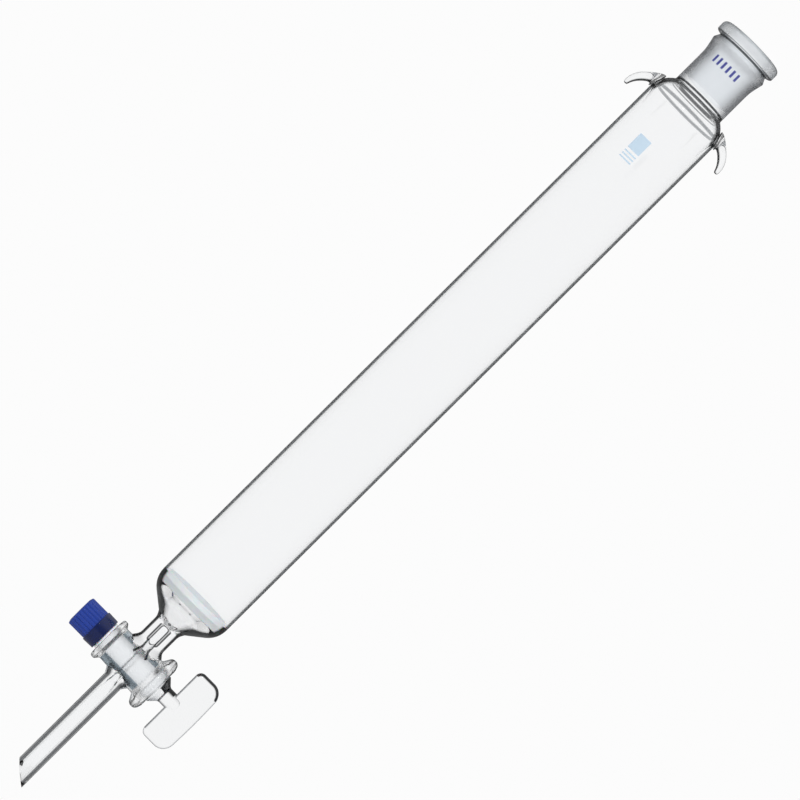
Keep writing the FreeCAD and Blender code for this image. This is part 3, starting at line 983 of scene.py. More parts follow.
@dataclass
class Hooks:
    """The two glass hooks that hold the joint's springs.

    Attributes:
        shoulder: Height at which the barrel's straight wall ends.
        radius: The barrel's outside radius.
        sides: Faces round a hook before it is rounded.
        rounds: How often it is subdivided.
        under: Part of a face's normal, down and in, past which it is on the hook's underside, which is
            painted darker.
    """

    shoulder: float
    radius: float
    sides: int = 20
    rounds: int = 2
    under: float = 0.12

    def stations(self) -> list[Station]:
        """Sections of the right hook, from its broad foot inside the shoulder's glass to its tip.

        Returns:
            The sections, from rows of millimetres out from the barrel's side, millimetres over the straight
            wall's end, degrees of dip and millimetres of radius.
        """
        steps = [
            (-1.2, 3.8, -20.0, 5.0),
            (-0.1, 4.2, -15.0, 4.0),
            (1.2, 3.8, 5.0, 2.9),
            (3.0, 2.6, 28.0, 2.1),
            (5.3, 0.7, 42.0, 2.0),
            (7.2, -1.7, 58.0, 1.8),
            (8.2, -4.2, 74.0, 1.4),
            (8.4, -6.0, 88.0, 1.1),
            (8.4, -6.7, 90.0, 0.7),
        ]
        return [
            Station(self.radius + out * MM, self.shoulder + up * MM, dip, thick * MM)
            for out, up, dip, thick in steps
        ]

    def make(self, name: str, side: int) -> Object:
        """Sweeps one hook by extruding, turning and narrowing its sections.

        Args:
            name: The piece's name.
            side: 1 for the hook at +X, -1 for the one at -X.

        Returns:
            The finished hook.
        """
        first, *rest = self.stations()
        deselect_all()
        bpy.ops.mesh.primitive_circle_add(
            vertices=self.sides, radius=first.radius, location=(first.x, 0.0, first.z),
            rotation=(0.0, math.pi / 2 + math.radians(first.dip), 0.0), fill_type="NGON",
        )
        piece = bpy.context.object
        bpy.ops.object.mode_set(mode="EDIT")
        bpy.ops.mesh.select_mode(type="FACE")
        bpy.ops.mesh.select_all(action="SELECT")
        here = first
        for station in rest:
            step = (station.x - here.x, 0.0, station.z - here.z)
            centre = (station.x, 0.0, station.z)
            bpy.ops.mesh.extrude_region_move(TRANSFORM_OT_translate={"value": step})
            bpy.ops.transform.rotate(
                value=-math.radians(station.dip - here.dip), orient_axis="Y", orient_type="GLOBAL",
                center_override=centre,
            )
            scale = station.radius / here.radius
            bpy.ops.transform.resize(value=(scale, scale, scale), center_override=centre)
            here = station
        tidy_shell()
        settle(piece, name)
        if side < 0:
            move_points(piece, lambda point: Vector((-point.x, point.y, point.z)))
            piece.data.flip_normals()
        activate(piece)
        rounding = piece.modifiers.new("round", "SUBSURF")
        rounding.levels = self.rounds
        rounding.render_levels = self.rounds
        bpy.ops.object.modifier_apply(modifier=rounding.name)
        # Painted shade: the faces on the hook's underside take the near-black copy of its glass.
        dress(
            piece, [HOOK_GLASS, HOOK_SHADED_UNDERSIDE],
            lambda centre, normal: int(side * normal.x + normal.z < -self.under),
        )
        smooth(piece, 60.0)
        return piece


@dataclass
class Foot:
    """The sintered disc and the drawn-in cone that holds it.

    Attributes:
        lathe: Turns the pieces.
        radius: The cone's outside radius at the barrel.
        top: Height of the weld to the barrel.
        bottom: Height of the weld to the arm.
        disc_radius: Radius of the disc.
        disc_top: Height of its upper face, which stands a little over the weld.
        disc_bottom: Height of its underside.
        straight: Height of the cone's straight edge under the barrel.
        bend: Radius of the bend that follows.
        slope: The cone's slope.
        disc_edge: How far the disc's straight edge reaches under the weld.
        disc_bevel: How far it draws in under that.
        depth: Height of the clear cone under the disc.
        melt: How far the disc's edge is melted into the glass.
    """

    lathe: Lathe
    radius: float
    top: float
    bottom: float
    disc_radius: float
    disc_top: float
    disc_bottom: float
    straight: float = 0.8 * MM
    bend: float = 11.0 * MM
    slope: float = math.radians(38.5)
    disc_edge: float = 1.6 * MM
    disc_bevel: float = 1.9 * MM
    arm_radius: float = 7.8 * MM
    depth: float = 12.8 * MM
    waterway: float = 1.5 * MM
    melt: float = 0.05 * MM

    def bore(self, height: float) -> float:
        """Radius of the cone's inside at a height under the disc."""
        share = (height - self.disc_bottom + self.depth) / self.depth
        return self.waterway + (self.disc_radius - self.disc_bevel - self.waterway) * share

    def make_cone(self) -> Object:
        """Turns the cone with the disc's seat."""
        reach = self.bend * math.tan((math.pi / 2 - self.slope) / 2)
        cone = self.lathe.turn("drawn_cone", [
            Corner(self.radius, self.top),
            Corner(self.disc_radius, self.top),
            Corner(self.disc_radius, self.top - self.disc_edge),
            Corner(self.disc_radius - self.disc_bevel, self.disc_bottom),
            Corner(self.bore(self.bottom), self.bottom),
            Corner(self.arm_radius, self.bottom),
            Corner(self.radius, self.top - self.straight - reach, self.bend),
        ], Axis.BARREL, longest=2.0 * MM)
        dress(cone, [CONE_GLASS, BORE_GLASS, WELD], self._cone_finish)
        smooth(cone)
        return cone

    def _cone_finish(self, centre: Vector, normal: Vector) -> int:
        """Slot of a face of the cone: outside, inside or weld."""
        if lies_on(centre, normal, self.top, self.bottom):
            return 2
        return 1 if normal.dot(self.lathe.outward(Axis.BARREL, centre)) < 0 else 0

    def make_disc(self) -> Object:
        """Turns the porous disc, melted a little into the cone's glass."""
        disc = self.lathe.turn("sintered_filter_disc", [
            Corner(0.0, self.disc_top),
            Corner(self.disc_radius + self.melt, self.disc_top, 0.4 * MM),
            Corner(self.disc_radius + self.melt, self.top - self.disc_edge, 0.5 * MM),
            Corner(self.disc_radius - self.disc_bevel + self.melt, self.disc_bottom, 0.3 * MM),
            Corner(0.0, self.disc_bottom),
        ], Axis.BARREL, closed=False, longest=2.0 * MM)
        # Painted light and shade: the flat faces take the darker copy of the sintered glass, the edge the
        # lighter one.
        dress(disc, [SINTER, SINTER_SHADED_FACE], lambda centre, normal: int(abs(normal.z) > 0.7))
        smooth(disc)
        return disc


@dataclass
class Stopcock:
    """The horizontal shell with the arm above it and the drip stem below.

    Attributes:
        lathe: Turns the pieces.
        narrow_end: Place of the shell's narrow end along the key's axis.
        wide_end: Place of its wide end.
        arm_top: Height of the weld to the cone.
        tip: Height of the stem's tip.
        foot: The cone above, whose inside the arm's bore follows.
        mouth: Radius of the shell's bore at its wide end.
        taper: How much the bore's radius shrinks for its length.
        mouth_bead: How far the bead at the wide end stands out from the bore.
        narrow_bead: The same at the narrow end.
        arm_flare: How far the arm's foot spreads over the shell.
        stem_neck: How far under the shell the stem's bore is drawn in.
        bevel: Slope of the stem's tip.
        saddle_zone: Height over which a foot is bent to the shell's round.
        weld_margin: How far inside a foot's edge the shell counts as welded.
        bead_margin: How far beside a bead's foot the shell still counts as bead.
        saddle_margin: How far from the shell's outside a foot's face still counts as welded to it.
        saddle_facing: Least part of such a face's normal towards the shell.
        bore_facing: Least part of a normal towards the barrel's axis in an arm's bore.
    """

    lathe: Lathe
    narrow_end: float
    wide_end: float
    arm_top: float
    tip: float
    foot: Foot
    mouth: float = 7.25 * MM
    taper: float = 0.05
    wall: float = 2.6 * MM
    mouth_bead: float = 6.3 * MM
    mouth_bead_width: float = 6.8 * MM
    narrow_bead: float = 4.8 * MM
    narrow_bead_width: float = 4.0 * MM
    arm_radius: float = 6.5 * MM
    arm_flare: float = 1.9 * MM
    stem_radius: float = 4.9 * MM
    stem_flare: float = 1.7 * MM
    stem_bore: float = 2.5 * MM
    stem_neck: float = 8.0 * MM
    bevel: float = math.radians(41.0)
    waterway: float = 1.5 * MM
    saddle_zone: float = 7.0 * MM
    weld_margin: float = 0.35 * MM
    bead_margin: float = 0.3 * MM
    saddle_margin: float = 0.06 * MM
    saddle_facing: float = 0.05
    bore_facing: float = 0.2

    def seat(self, along: float) -> float:
        """Radius of the shell's tapered bore at a place along the key's axis."""
        return self.mouth - self.taper * (self.wide_end - along)

    def outside(self, along: float) -> float:
        """Radius of the shell's outside between its beads."""
        return self.seat(along) + self.wall

    def make_shell(self) -> Object:
        """Turns the shell with its two beads and drills the waterway."""
        narrow, wide = self.narrow_end, self.wide_end
        narrow_seat = self.seat(narrow)
        narrow_foot = narrow + self.narrow_bead_width
        wide_foot = wide - self.mouth_bead_width
        crest = self.mouth + self.mouth_bead
        shell = self.lathe.turn("stopcock_shell_glass", [
            Corner(narrow_seat, narrow, 0.3 * MM),
            Corner(narrow_seat + self.wall, narrow, 0.8 * MM),
            Corner(narrow_seat + self.narrow_bead, narrow + 0.3 * MM, 1.1 * MM),
            Corner(narrow_seat + self.narrow_bead, narrow + 0.6 * self.narrow_bead_width, 1.1 * MM),
            Corner(self.outside(narrow_foot), narrow_foot, 0.8 * MM),
            Corner(self.outside(wide_foot), wide_foot, 0.8 * MM),
            Corner(crest, wide - 0.65 * self.mouth_bead_width, 2.3 * MM),
            Corner(crest, wide - 0.15 * self.mouth_bead_width, 2.3 * MM),
            Corner(self.mouth + 0.5 * self.mouth_bead, wide, 1.3 * MM),
            Corner(self.mouth, wide, 0.5 * MM),
        ], Axis.KEY, longest=0.5 * MM)
        self.drill_waterway(shell, crest)
        dress(shell, [SHELL_GLASS, SHELL_SEAT, WELD, ARM_BORE, BEAD_GLASS], self._shell_finish)
        smooth(shell)
        return shell

    def drill_waterway(self, piece: Object, radius: float) -> None:
        """Drills the waterway through a piece that has this radius about the key's axis."""
        reach = radius + DRILL_OVERRUN
        bore_through(piece, self.waterway, self.lathe.key_height - reach, self.lathe.key_height + reach)

    def in_waterway(self, centre: Vector) -> bool:
        """Whether a face's centre lies in the drilled waterway."""
        return math.hypot(centre.x, centre.y) < self.waterway + WAY_SLACK

    def _shell_finish(self, centre: Vector, normal: Vector) -> int:
        """Slot of a face of the shell: outside, ground seat, under a weld, waterway or bead."""
        if self.in_waterway(centre):
            return 3
        if normal.dot(self.lathe.outward(Axis.KEY, centre)) < 0:
            return 1
        above = centre.z > self.lathe.key_height
        reach = self.arm_radius + self.arm_flare if above else self.stem_radius + self.stem_flare
        if math.hypot(centre.x, centre.y) < reach - self.weld_margin:
            return 2
        low = self.narrow_end + self.narrow_bead_width + self.bead_margin
        high = self.wide_end - self.mouth_bead_width - self.bead_margin
        return 0 if low < centre.x < high else 4

    def surface(self, place: Vector, side: int) -> float:
        """Height of the shell's outside over or under a place, by side."""
        chord = math.sqrt(max(0.0, self.outside(place.x) ** 2 - place.y ** 2))
        return self.lathe.key_height + side * chord

    def _saddle(self, point: Vector, side: int) -> Vector:
        """Moves a point near an arm's foot so that the foot follows the shell's round outside."""
        crown = self.lathe.key_height + side * self.outside(0.0)
        height = side * (point.z - crown)
        share = max(0.0, min(1.0, 1.0 - height / self.saddle_zone)) ** 2
        return Vector((point.x, point.y, point.z + share * (self.surface(point, side) - crown)))

    def make_arm(self) -> Object:
        """Turns the arm and seats its flared foot on the shell."""
        crown = self.lathe.key_height + self.outside(0.0)
        apex = self.foot.disc_bottom - self.foot.depth
        arm = self.lathe.turn("inlet_arm_glass", [
            Corner(self.waterway, crown),
            Corner(self.arm_radius + self.arm_flare, crown),
            Corner(self.arm_radius, crown + 1.3 * self.arm_flare, 3.5 * MM),
            Corner(self.arm_radius, self.arm_top - 2.4 * MM, 4.8 * MM),
            Corner(self.foot.arm_radius, self.arm_top),
            Corner(self.foot.bore(self.arm_top), self.arm_top),
            Corner(self.waterway, apex, 0.8 * MM),
        ], Axis.BARREL, longest=0.6 * MM)
        move_points(arm, lambda point: self._saddle(point, 1))
        dress(arm, [ARM_GLASS, ARM_BORE, WELD], lambda centre, normal: self._arm_finish(centre, normal, 1))
        smooth(arm, 40.0)
        return arm

    def make_stem(self) -> Object:
        """Turns the stem, cuts its bevelled tip and seats its foot under the shell."""
        crown = self.lathe.key_height - self.outside(0.0)
        stem = self.lathe.turn("drip_stem_glass", [
            Corner(self.waterway, crown),
            Corner(self.stem_radius + self.stem_flare, crown),
            Corner(self.stem_radius, crown - 1.5 * self.stem_flare, 4.0 * MM),
            Corner(self.stem_radius, self.tip),
            Corner(self.stem_bore, self.tip),
            Corner(self.stem_bore, crown - self.stem_neck, 6.0 * MM),
            Corner(self.waterway, crown - 0.2 * self.stem_neck, 2.0 * MM),
        ], Axis.BARREL, longest=0.8 * MM)
        activate(stem)
        bpy.ops.object.mode_set(mode="EDIT")
        bpy.ops.mesh.select_all(action="SELECT")
        bpy.ops.mesh.bisect(
            plane_co=(self.stem_radius, 0.0, self.tip),
            plane_no=(-math.sin(self.bevel), 0.0, -math.cos(self.bevel)),
            clear_outer=True, use_fill=True,
        )
        tidy_shell()
        move_points(stem, lambda point: self._saddle(point, -1))
        dress(stem, [STEM_GLASS, ARM_BORE, WELD], lambda centre, normal: self._arm_finish(centre, normal, -1))
        smooth(stem, 40.0)
        return stem

    def _arm_finish(self, centre: Vector, normal: Vector, side: int) -> int:
        """Slot of a face of an arm: outside, bore or weld."""
        if lies_on(centre, normal, self.arm_top):
            return 2
        near_shell = abs(centre.z - self.surface(centre, side)) < self.saddle_margin
        if near_shell and side * normal.z < -self.saddle_facing:
            return 2
        return 1 if normal.dot(self.lathe.outward(Axis.BARREL, centre)) < -self.bore_facing else 0


# -------------------------------------------------------------------------------------- the key and its nut


@dataclass
class Key:
    """The ground glass key: threaded stub, plug with its waterway, neck and flat handle.

    Attributes:
        lathe: Turns the pieces.
        stopcock: The shell that the plug fits.
        stub_end: Place of the threaded end along the key's axis.
        handle_end: Place of the handle's far edge.
        handle_half: Half the handle's length.
        clearance: Gap between the plug and its seat.
        inset: How far inside the shell's narrow end the plug starts.
        head: How far it stands out of the wide end.
        cone: Length over which it draws in to the neck.
        corner_in: Width of the bevel at the handle's corners by the neck.
        corner_out: The same at its far corners.
        edge: Width of the bevel round its rims.
        bulge: How far its far edge swells in the middle.
        thread_start: Place of the thread's inner end along the key's axis.
        rings_per_turn: Sections that shape one turn of the thread.
        ridge_half: Half the width of the thread's ridge at its foot, as a share of the pitch.
        flank: Width of one of its flanks, in the same way.
        leaning: Least part of a face's normal up, down or out for it to count as leaning that way.
        end_margin: How far from the plug's end, or from the stub's side, its ground wall starts.
        neck_margin: How far from the neck's side a face in the handle still belongs to the neck.
    """

    lathe: Lathe
    stopcock: Stopcock
    stub_end: float
    handle_end: float
    handle_half: float
    clearance: float = 0.04 * MM
    inset: float = 0.4 * MM
    head: float = 0.5 * MM
    cone: float = 3.2 * MM
    neck_radius: float = 3.9 * MM
    handle_width: float = 14.5 * MM
    handle_thickness: float = 6.0 * MM
    corner_in: float = 3.0 * MM
    corner_out: float = 5.6 * MM
    edge: float = 2.3 * MM
    bulge: float = 0.6 * MM
    stub_radius: float = 4.2 * MM
    thread_start: float = -17.85 * MM
    thread_crest: float = 3.7 * MM
    thread_root: float = 3.0 * MM
    pitch: float = 2.0 * MM
    rings_per_turn: int = 12
    ridge_half: float = 0.33
    flank: float = 0.19
    leaning: float = 0.12
    end_margin: float = 0.5 * MM
    neck_margin: float = 0.4 * MM

    def plug_radius(self, along: float) -> float:
        """Radius of the ground plug at a place along the key's axis."""
        return self.stopcock.seat(along) - self.clearance

    def thread_point(self, point: Vector) -> Vector:
        """Moves a point of the plain threaded end onto the right-hand thread."""
        run = self.thread_start - point.x
        across = self.lathe.across(Axis.KEY, point)
        if run <= 0 or across < self.thread_root:
            return point
        angle = math.atan2(point.y, point.z - self.lathe.key_height)
        phase = (run / self.pitch - angle / FULL_TURN) % 1.0
        ridge = max(0.0, min(1.0, (self.ridge_half - abs(phase - 0.5)) / self.flank))
        length = self.thread_start - self.stub_end
        fade = max(0.0, min(1.0, run / MM, (length - run) / MM))
        radius = self.thread_root + (self.thread_crest - self.thread_root) * ridge * fade
        out = self.lathe.outward(Axis.KEY, point) * radius
        return Vector((point.x, out.y, self.lathe.key_height + out.z))

    def make(self) -> Object:
        """Turns the key, threads its end, fuses the handle on and drills the waterway."""
        plug_start = self.stopcock.narrow_end + self.inset
        plug_end = self.stopcock.wide_end + self.head
        neck_start = plug_end + self.cone
        handle_start = self.handle_end - self.handle_width
        neck_end = handle_start + self.handle_width / 3
        length = self.thread_start - self.stub_end
        rings = round(length / self.pitch * self.rings_per_turn)
        threaded = [
            Corner(self.thread_crest, self.stub_end + length * i / rings) for i in range(rings)
        ]
        key = self.lathe.turn("glass_key", [
            Corner(0.0, self.stub_end),
            *threaded,
            Corner(self.thread_crest, self.thread_start),
            Corner(self.stub_radius, self.thread_start, 0.3 * MM),
            Corner(self.stub_radius, plug_start, 0.3 * MM),
            Corner(self.plug_radius(plug_start), plug_start, 0.4 * MM),
            Corner(self.plug_radius(plug_end), plug_end, 0.8 * MM),
            Corner(self.neck_radius, neck_start, 2.2 * MM),
            Corner(self.neck_radius, neck_end, 2.5 * MM),
            Corner(0.0, neck_end),
        ], Axis.KEY, closed=False, longest=1.0 * MM)
        move_points(key, self.thread_point)
        combine(key, self.make_handle(), "UNION")
        self.stopcock.drill_waterway(key, self.plug_radius(0.0))
        dress(key, [KEY_GLASS, KEY_SEAT, ARM_BORE, KEY_CREST_SHADE, KEY_FAR_EDGE_SHADE], self._finish)
        smooth(key)
        return key

    def make_handle(self) -> Object:
        """Shapes the flat oval handle from a block: its corners, its full outer edge, then its rims."""
        start = self.handle_end - self.handle_width
        middle = self.handle_end - self.handle_width / 2
        deselect_all()
        bpy.ops.mesh.primitive_cube_add(
            size=1.0, location=(middle, 0.0, self.lathe.key_height),
            scale=(self.handle_width, self.handle_thickness, 2 * self.handle_half),
        )
        handle = settle(bpy.context.object, "handle")
        far = self.handle_end - 0.1 * MM
        self._bevel(handle, lambda a, b: abs(a.y - b.y) > MM and a.x < middle, self.corner_in, 10)
        self._bevel(handle, lambda a, b: abs(a.y - b.y) > MM and a.x > far, self.corner_out, 14)
        bpy.ops.object.mode_set(mode="EDIT")
        bpy.ops.mesh.select_all(action="SELECT")
        for cut in range(-5, 6):
            height = self.lathe.key_height + cut * self.handle_half / 8
            bpy.ops.mesh.bisect(plane_co=(middle, 0.0, height), plane_no=(0.0, 0.0, 1.0))
            bpy.ops.mesh.select_all(action="SELECT")
        bpy.ops.object.mode_set(mode="OBJECT")

        def swell(point: Vector) -> Vector:
            """Rounds the outer edge a little outwards."""
            share = (point.x - start) / self.handle_width
            rise = 1.0 - ((point.z - self.lathe.key_height) / self.handle_half) ** 2
            return Vector((point.x - self.bulge * share * (1.0 - rise), point.y, point.z))

        move_points(handle, swell)
        half = self.handle_thickness / 2

        def at_rim(a: Vector, b: Vector) -> bool:
            """Whether an edge lies in the front or the back."""
            return abs(abs(a.y) - half) <= ON_PLANE and abs(a.y - b.y) <= ON_PLANE

        self._bevel(handle, at_rim, self.edge, 8, outline_only=True)
        return handle

    def _bevel(
        self, piece: Object, wanted: Callable[[Vector, Vector], bool], width: float, steps: int,
        outline_only: bool = False,
    ) -> None:
        """Bevels the edges that a rule picks.

        Args:
            piece: The piece to bevel.
            wanted: Takes an edge's two ends and says whether it is bevelled.
            width: Width of the bevel.
            steps: Faces across it.
            outline_only: Whether edges between two faces in one plane are left out.
        """
        activate(piece)
        mesh = piece.data
        facings: dict[tuple[int, int], list[Vector]] = {}
        for face in mesh.polygons:
            for pair in face.edge_keys:
                facings.setdefault(pair, []).append(face.normal.copy())
        bpy.ops.object.mode_set(mode="EDIT")
        bpy.ops.mesh.select_mode(type="EDGE")
        bpy.ops.mesh.select_all(action="DESELECT")
        bpy.ops.object.mode_set(mode="OBJECT")
        for edge in mesh.edges:
            ends = [mesh.vertices[i].co for i in edge.vertices]
            sides = facings.get(tuple(sorted(edge.vertices)), [])
            creased = len(sides) == 2 and sides[0].dot(sides[1]) < 0.5
            edge.select = wanted(*ends) and (creased or not outline_only)
        bpy.ops.object.mode_set(mode="EDIT")
        bpy.ops.mesh.bevel(offset=width, segments=steps, profile=0.5, affect="EDGES")
        bpy.ops.object.mode_set(mode="OBJECT")

    def _finish(self, centre: Vector, normal: Vector) -> int:
        """Slot of a face of the key: clear, ground plug, waterway, crest of the head with dark painted shade,
        or far edge with grey painted shade.
        """
        inside_plug = self.stopcock.narrow_end + self.end_margin < centre.x < self.stopcock.wide_end
        across = self.lathe.across(Axis.KEY, centre)
        if self.stopcock.in_waterway(centre) and across < self.plug_radius(0.0):
            return 2
        if inside_plug:
            return 1 if across > self.stub_radius + self.end_margin else 0
        if centre.x < self.stopcock.wide_end:
            return 0
        in_handle = centre.x > self.handle_end - self.handle_width
        proud_neck = in_handle and across < self.neck_radius + self.neck_margin
        # Painted shade: faces that lean up take the near-black copy of the key's glass, and those that lean
        # down or out take the grey copy.
        if normal.z > self.leaning and not proud_neck:
            return 3
        return 4 if normal.z < -self.leaning or normal.x > self.leaning else 0


@dataclass
class Retention:
    """The washer, the sealing ring and the nut that hold the key in.

    Attributes:
        lathe: Turns the pieces.
        washer: Low and high places of the washer along the key's axis.
        ring: The same for the sealing ring.
        nut: The same for the nut.
        hole: Radius of the washer's and the ring's hole.
        cord: Radius of the ring's round cord.
        recess: Radius of the recess in the nut's face, which holds the ring.
        bore: Radius of the nut's bore.
        end_wall: Thickness of its closed end.
        ribs: How many ribs its grip has.
        steps_per_rib: Faces round the nut for each rib.
        rib_run_out: Length over which the ribs grow from the nut's end.
    """

    lathe: Lathe
    washer: tuple[float, float]
    ring: tuple[float, float]
    nut: tuple[float, float]
    hole: float = 4.3 * MM
    washer_radius: float = 6.9 * MM
    cord: float = 0.9 * MM
    grip_radius: float = 7.5 * MM
    skirt_radius: float = 8.0 * MM
    grip_length: float = 9.5 * MM
    recess: float = 6.15 * MM
    recess_depth: float = 1.85 * MM
    bore: float = 3.86 * MM
    end_wall: float = 3.0 * MM
    ribs: int = 24
    rib_depth: float = 0.42 * MM
    rib_run_out: float = 0.8 * MM
    steps_per_rib: int = 10

    def make_washer(self) -> Object:
        """Turns the white washer."""
        low, high = self.washer
        washer = self.lathe.turn("ptfe_washer", [
            Corner(self.hole, low, 0.15 * MM),
            Corner(self.washer_radius, low, 0.3 * MM),
            Corner(self.washer_radius, high, 0.3 * MM),
            Corner(self.hole, high, 0.15 * MM),
        ], Axis.KEY, longest=0.6 * MM)
        dress(washer, [PTFE])
        smooth(washer)
        return washer

    def make_ring(self) -> Object:
        """Turns the sealing ring from its round cord."""
        middle = sum(self.ring) / 2
        across = self.hole + self.cord
        around = [math.radians(angle) for angle in range(0, 360, 15)]
        ring = self.lathe.turn("rubber_sealing_ring", [
            Corner(across + self.cord * math.cos(angle), middle + self.cord * math.sin(angle))
            for angle in around
        ], Axis.KEY)
        dress(ring, [RUBBER])
        smooth(ring, 60.0)
        return ring

    def make_nut(self) -> Object:
        """Turns the nut with its recess, then presses the ribs into its grip."""
        end, face = self.nut
        step = end + self.grip_length
        turner = Lathe(self.lathe.key_height, steps=self.ribs * self.steps_per_rib)
        nut = turner.turn("ribbed_nut", [
            Corner(0.0, end),
            Corner(self.grip_radius - 1.6 * MM, end, 0.4 * MM),
            Corner(self.grip_radius, end + 0.5 * MM, 0.7 * MM),
            Corner(self.grip_radius, step - 0.3 * MM),
            Corner(self.grip_radius - 0.1 * MM, step),
            Corner(self.skirt_radius, step, 0.35 * MM),
            Corner(self.skirt_radius - 0.2 * MM, face, 0.4 * MM),
            Corner(self.recess, face, 0.3 * MM),
            Corner(self.recess, face - self.recess_depth, 0.3 * MM),
            Corner(self.bore, face - self.recess_depth, 0.3 * MM),
            Corner(self.bore, end + self.end_wall),
            Corner(0.0, end + self.end_wall),
        ], Axis.KEY, closed=False, longest=0.8 * MM)

        def rib(point: Vector) -> Vector:
            """Presses a groove between each two ribs, shallow at the grip's ends."""
            across = self.lathe.across(Axis.KEY, point)
            if across < self.grip_radius - MM or point.x > step - 0.2 * MM:
                return point
            angle = math.atan2(point.y, point.z - self.lathe.key_height)
            wave = 0.5 - 0.5 * math.cos(angle * self.ribs)
            groove = self.rib_depth * wave ** 3 * min(1.0, (point.x - end) / self.rib_run_out)
            out = self.lathe.outward(Axis.KEY, point) * (across - groove)
            return Vector((point.x, out.y, self.lathe.key_height + out.z))

        move_points(nut, rib)
        skirt = step - 0.05 * MM
        # Painted shade: the skirt takes the darker copy of the blue plastic.
        dress(nut, [NUT_PLASTIC, SKIRT_SHADED_PLASTIC], lambda centre, normal: int(centre.x > skirt))
        smooth(nut, 40.0)
        return nut


# ------------------------------------------------------------------------------------------ printed markings


@dataclass
class Markings:
    """Plain enamel marks where a real column is printed: size bars on the socket and a write-on patch.

    Attributes:
        barrel: The barrel and socket that carry them.
        bar: Width and height of a size bar.
        bars: How many bars there are.
        bar_row: Place of their row, as distance round the glass from the front and as height.
        patch: Width and height of the write-on patch.
        patch_place: Its place, in the same way.
        line: Width and height of a line under the patch.
        lines: How many lines there are.
    """

    barrel: Barrel
    thickness: float = 0.05 * MM
    bar: tuple[float, float] = (1.1 * MM, 3.6 * MM)
    bar_gap: float = 2.6 * MM
    bars: int = 6
    bar_row: tuple[float, float] = (-1.5 * MM, 173.6 * MM)
    patch: tuple[float, float] = (6.5 * MM, 8.0 * MM)
    patch_place: tuple[float, float] = (-4.2 * MM, 124.0 * MM)
    line: tuple[float, float] = (6.5 * MM, 0.7 * MM)
    lines: int = 3
    line_gap: float = 1.6 * MM

    def plate(
        self, name: str, size: tuple[float, float], middle: tuple[float, float],
        radius: Callable[[float], float], finish: Solid,
    ) -> Object:
        """Wraps a thin plate round the glass.

        Args:
            name: The piece's name.
            size: Its width round the glass and its height.
            middle: Its centre, as distance round the glass from the front and as height.
            radius: The glass's outside radius at a height.
            finish: The plate's finish.

        Returns:
            The finished plate.
        """
        deselect_all()
        bpy.ops.mesh.primitive_grid_add(x_subdivisions=8, y_subdivisions=8, size=1.0)
        piece = settle(bpy.context.object, name)

        def wrap(point: Vector) -> Vector:
            """Carries a point of the unit grid onto the glass."""
            height = middle[1] + point.y * size[1]
            reach = radius(height)
            angle = (middle[0] + point.x * size[0]) / reach
            return Vector((reach * math.sin(angle), -reach * math.cos(angle), height))

        move_points(piece, wrap)
        activate(piece)
        body = piece.modifiers.new("body", "SOLIDIFY")
        body.thickness = self.thickness
        body.offset = 1.0
        bpy.ops.object.modifier_apply(modifier=body.name)
        dress(piece, [finish])
        smooth(piece)
        return piece

    def make(self) -> list[Object]:
        """Builds every mark."""
        marks = []
        half = (self.bars - 1) / 2
        for i in range(self.bars):
            place = (self.bar_row[0] + (i - half) * self.bar_gap, self.bar_row[1])
            marks.append(self.plate(f"size_bar_{i + 1}", self.bar, place, self.barrel.socket_radius, ENAMEL))

        def tube(height: float) -> float:
            """The barrel's outside radius, which doesn't change with height."""
            return self.barrel.radius

        x, z = self.patch_place
        marks.append(self.plate("write_on_patch", self.patch, (x, z), tube, ETCH))
        for i in range(self.lines):
            place = (x, z - self.patch[1] / 2 - (i + 1) * self.line_gap)
            marks.append(self.plate(f"patch_line_{i + 1}", self.line, place, tube, ETCH))
        return marks


# ------------------------------------------------------------------------------------------------- the studio


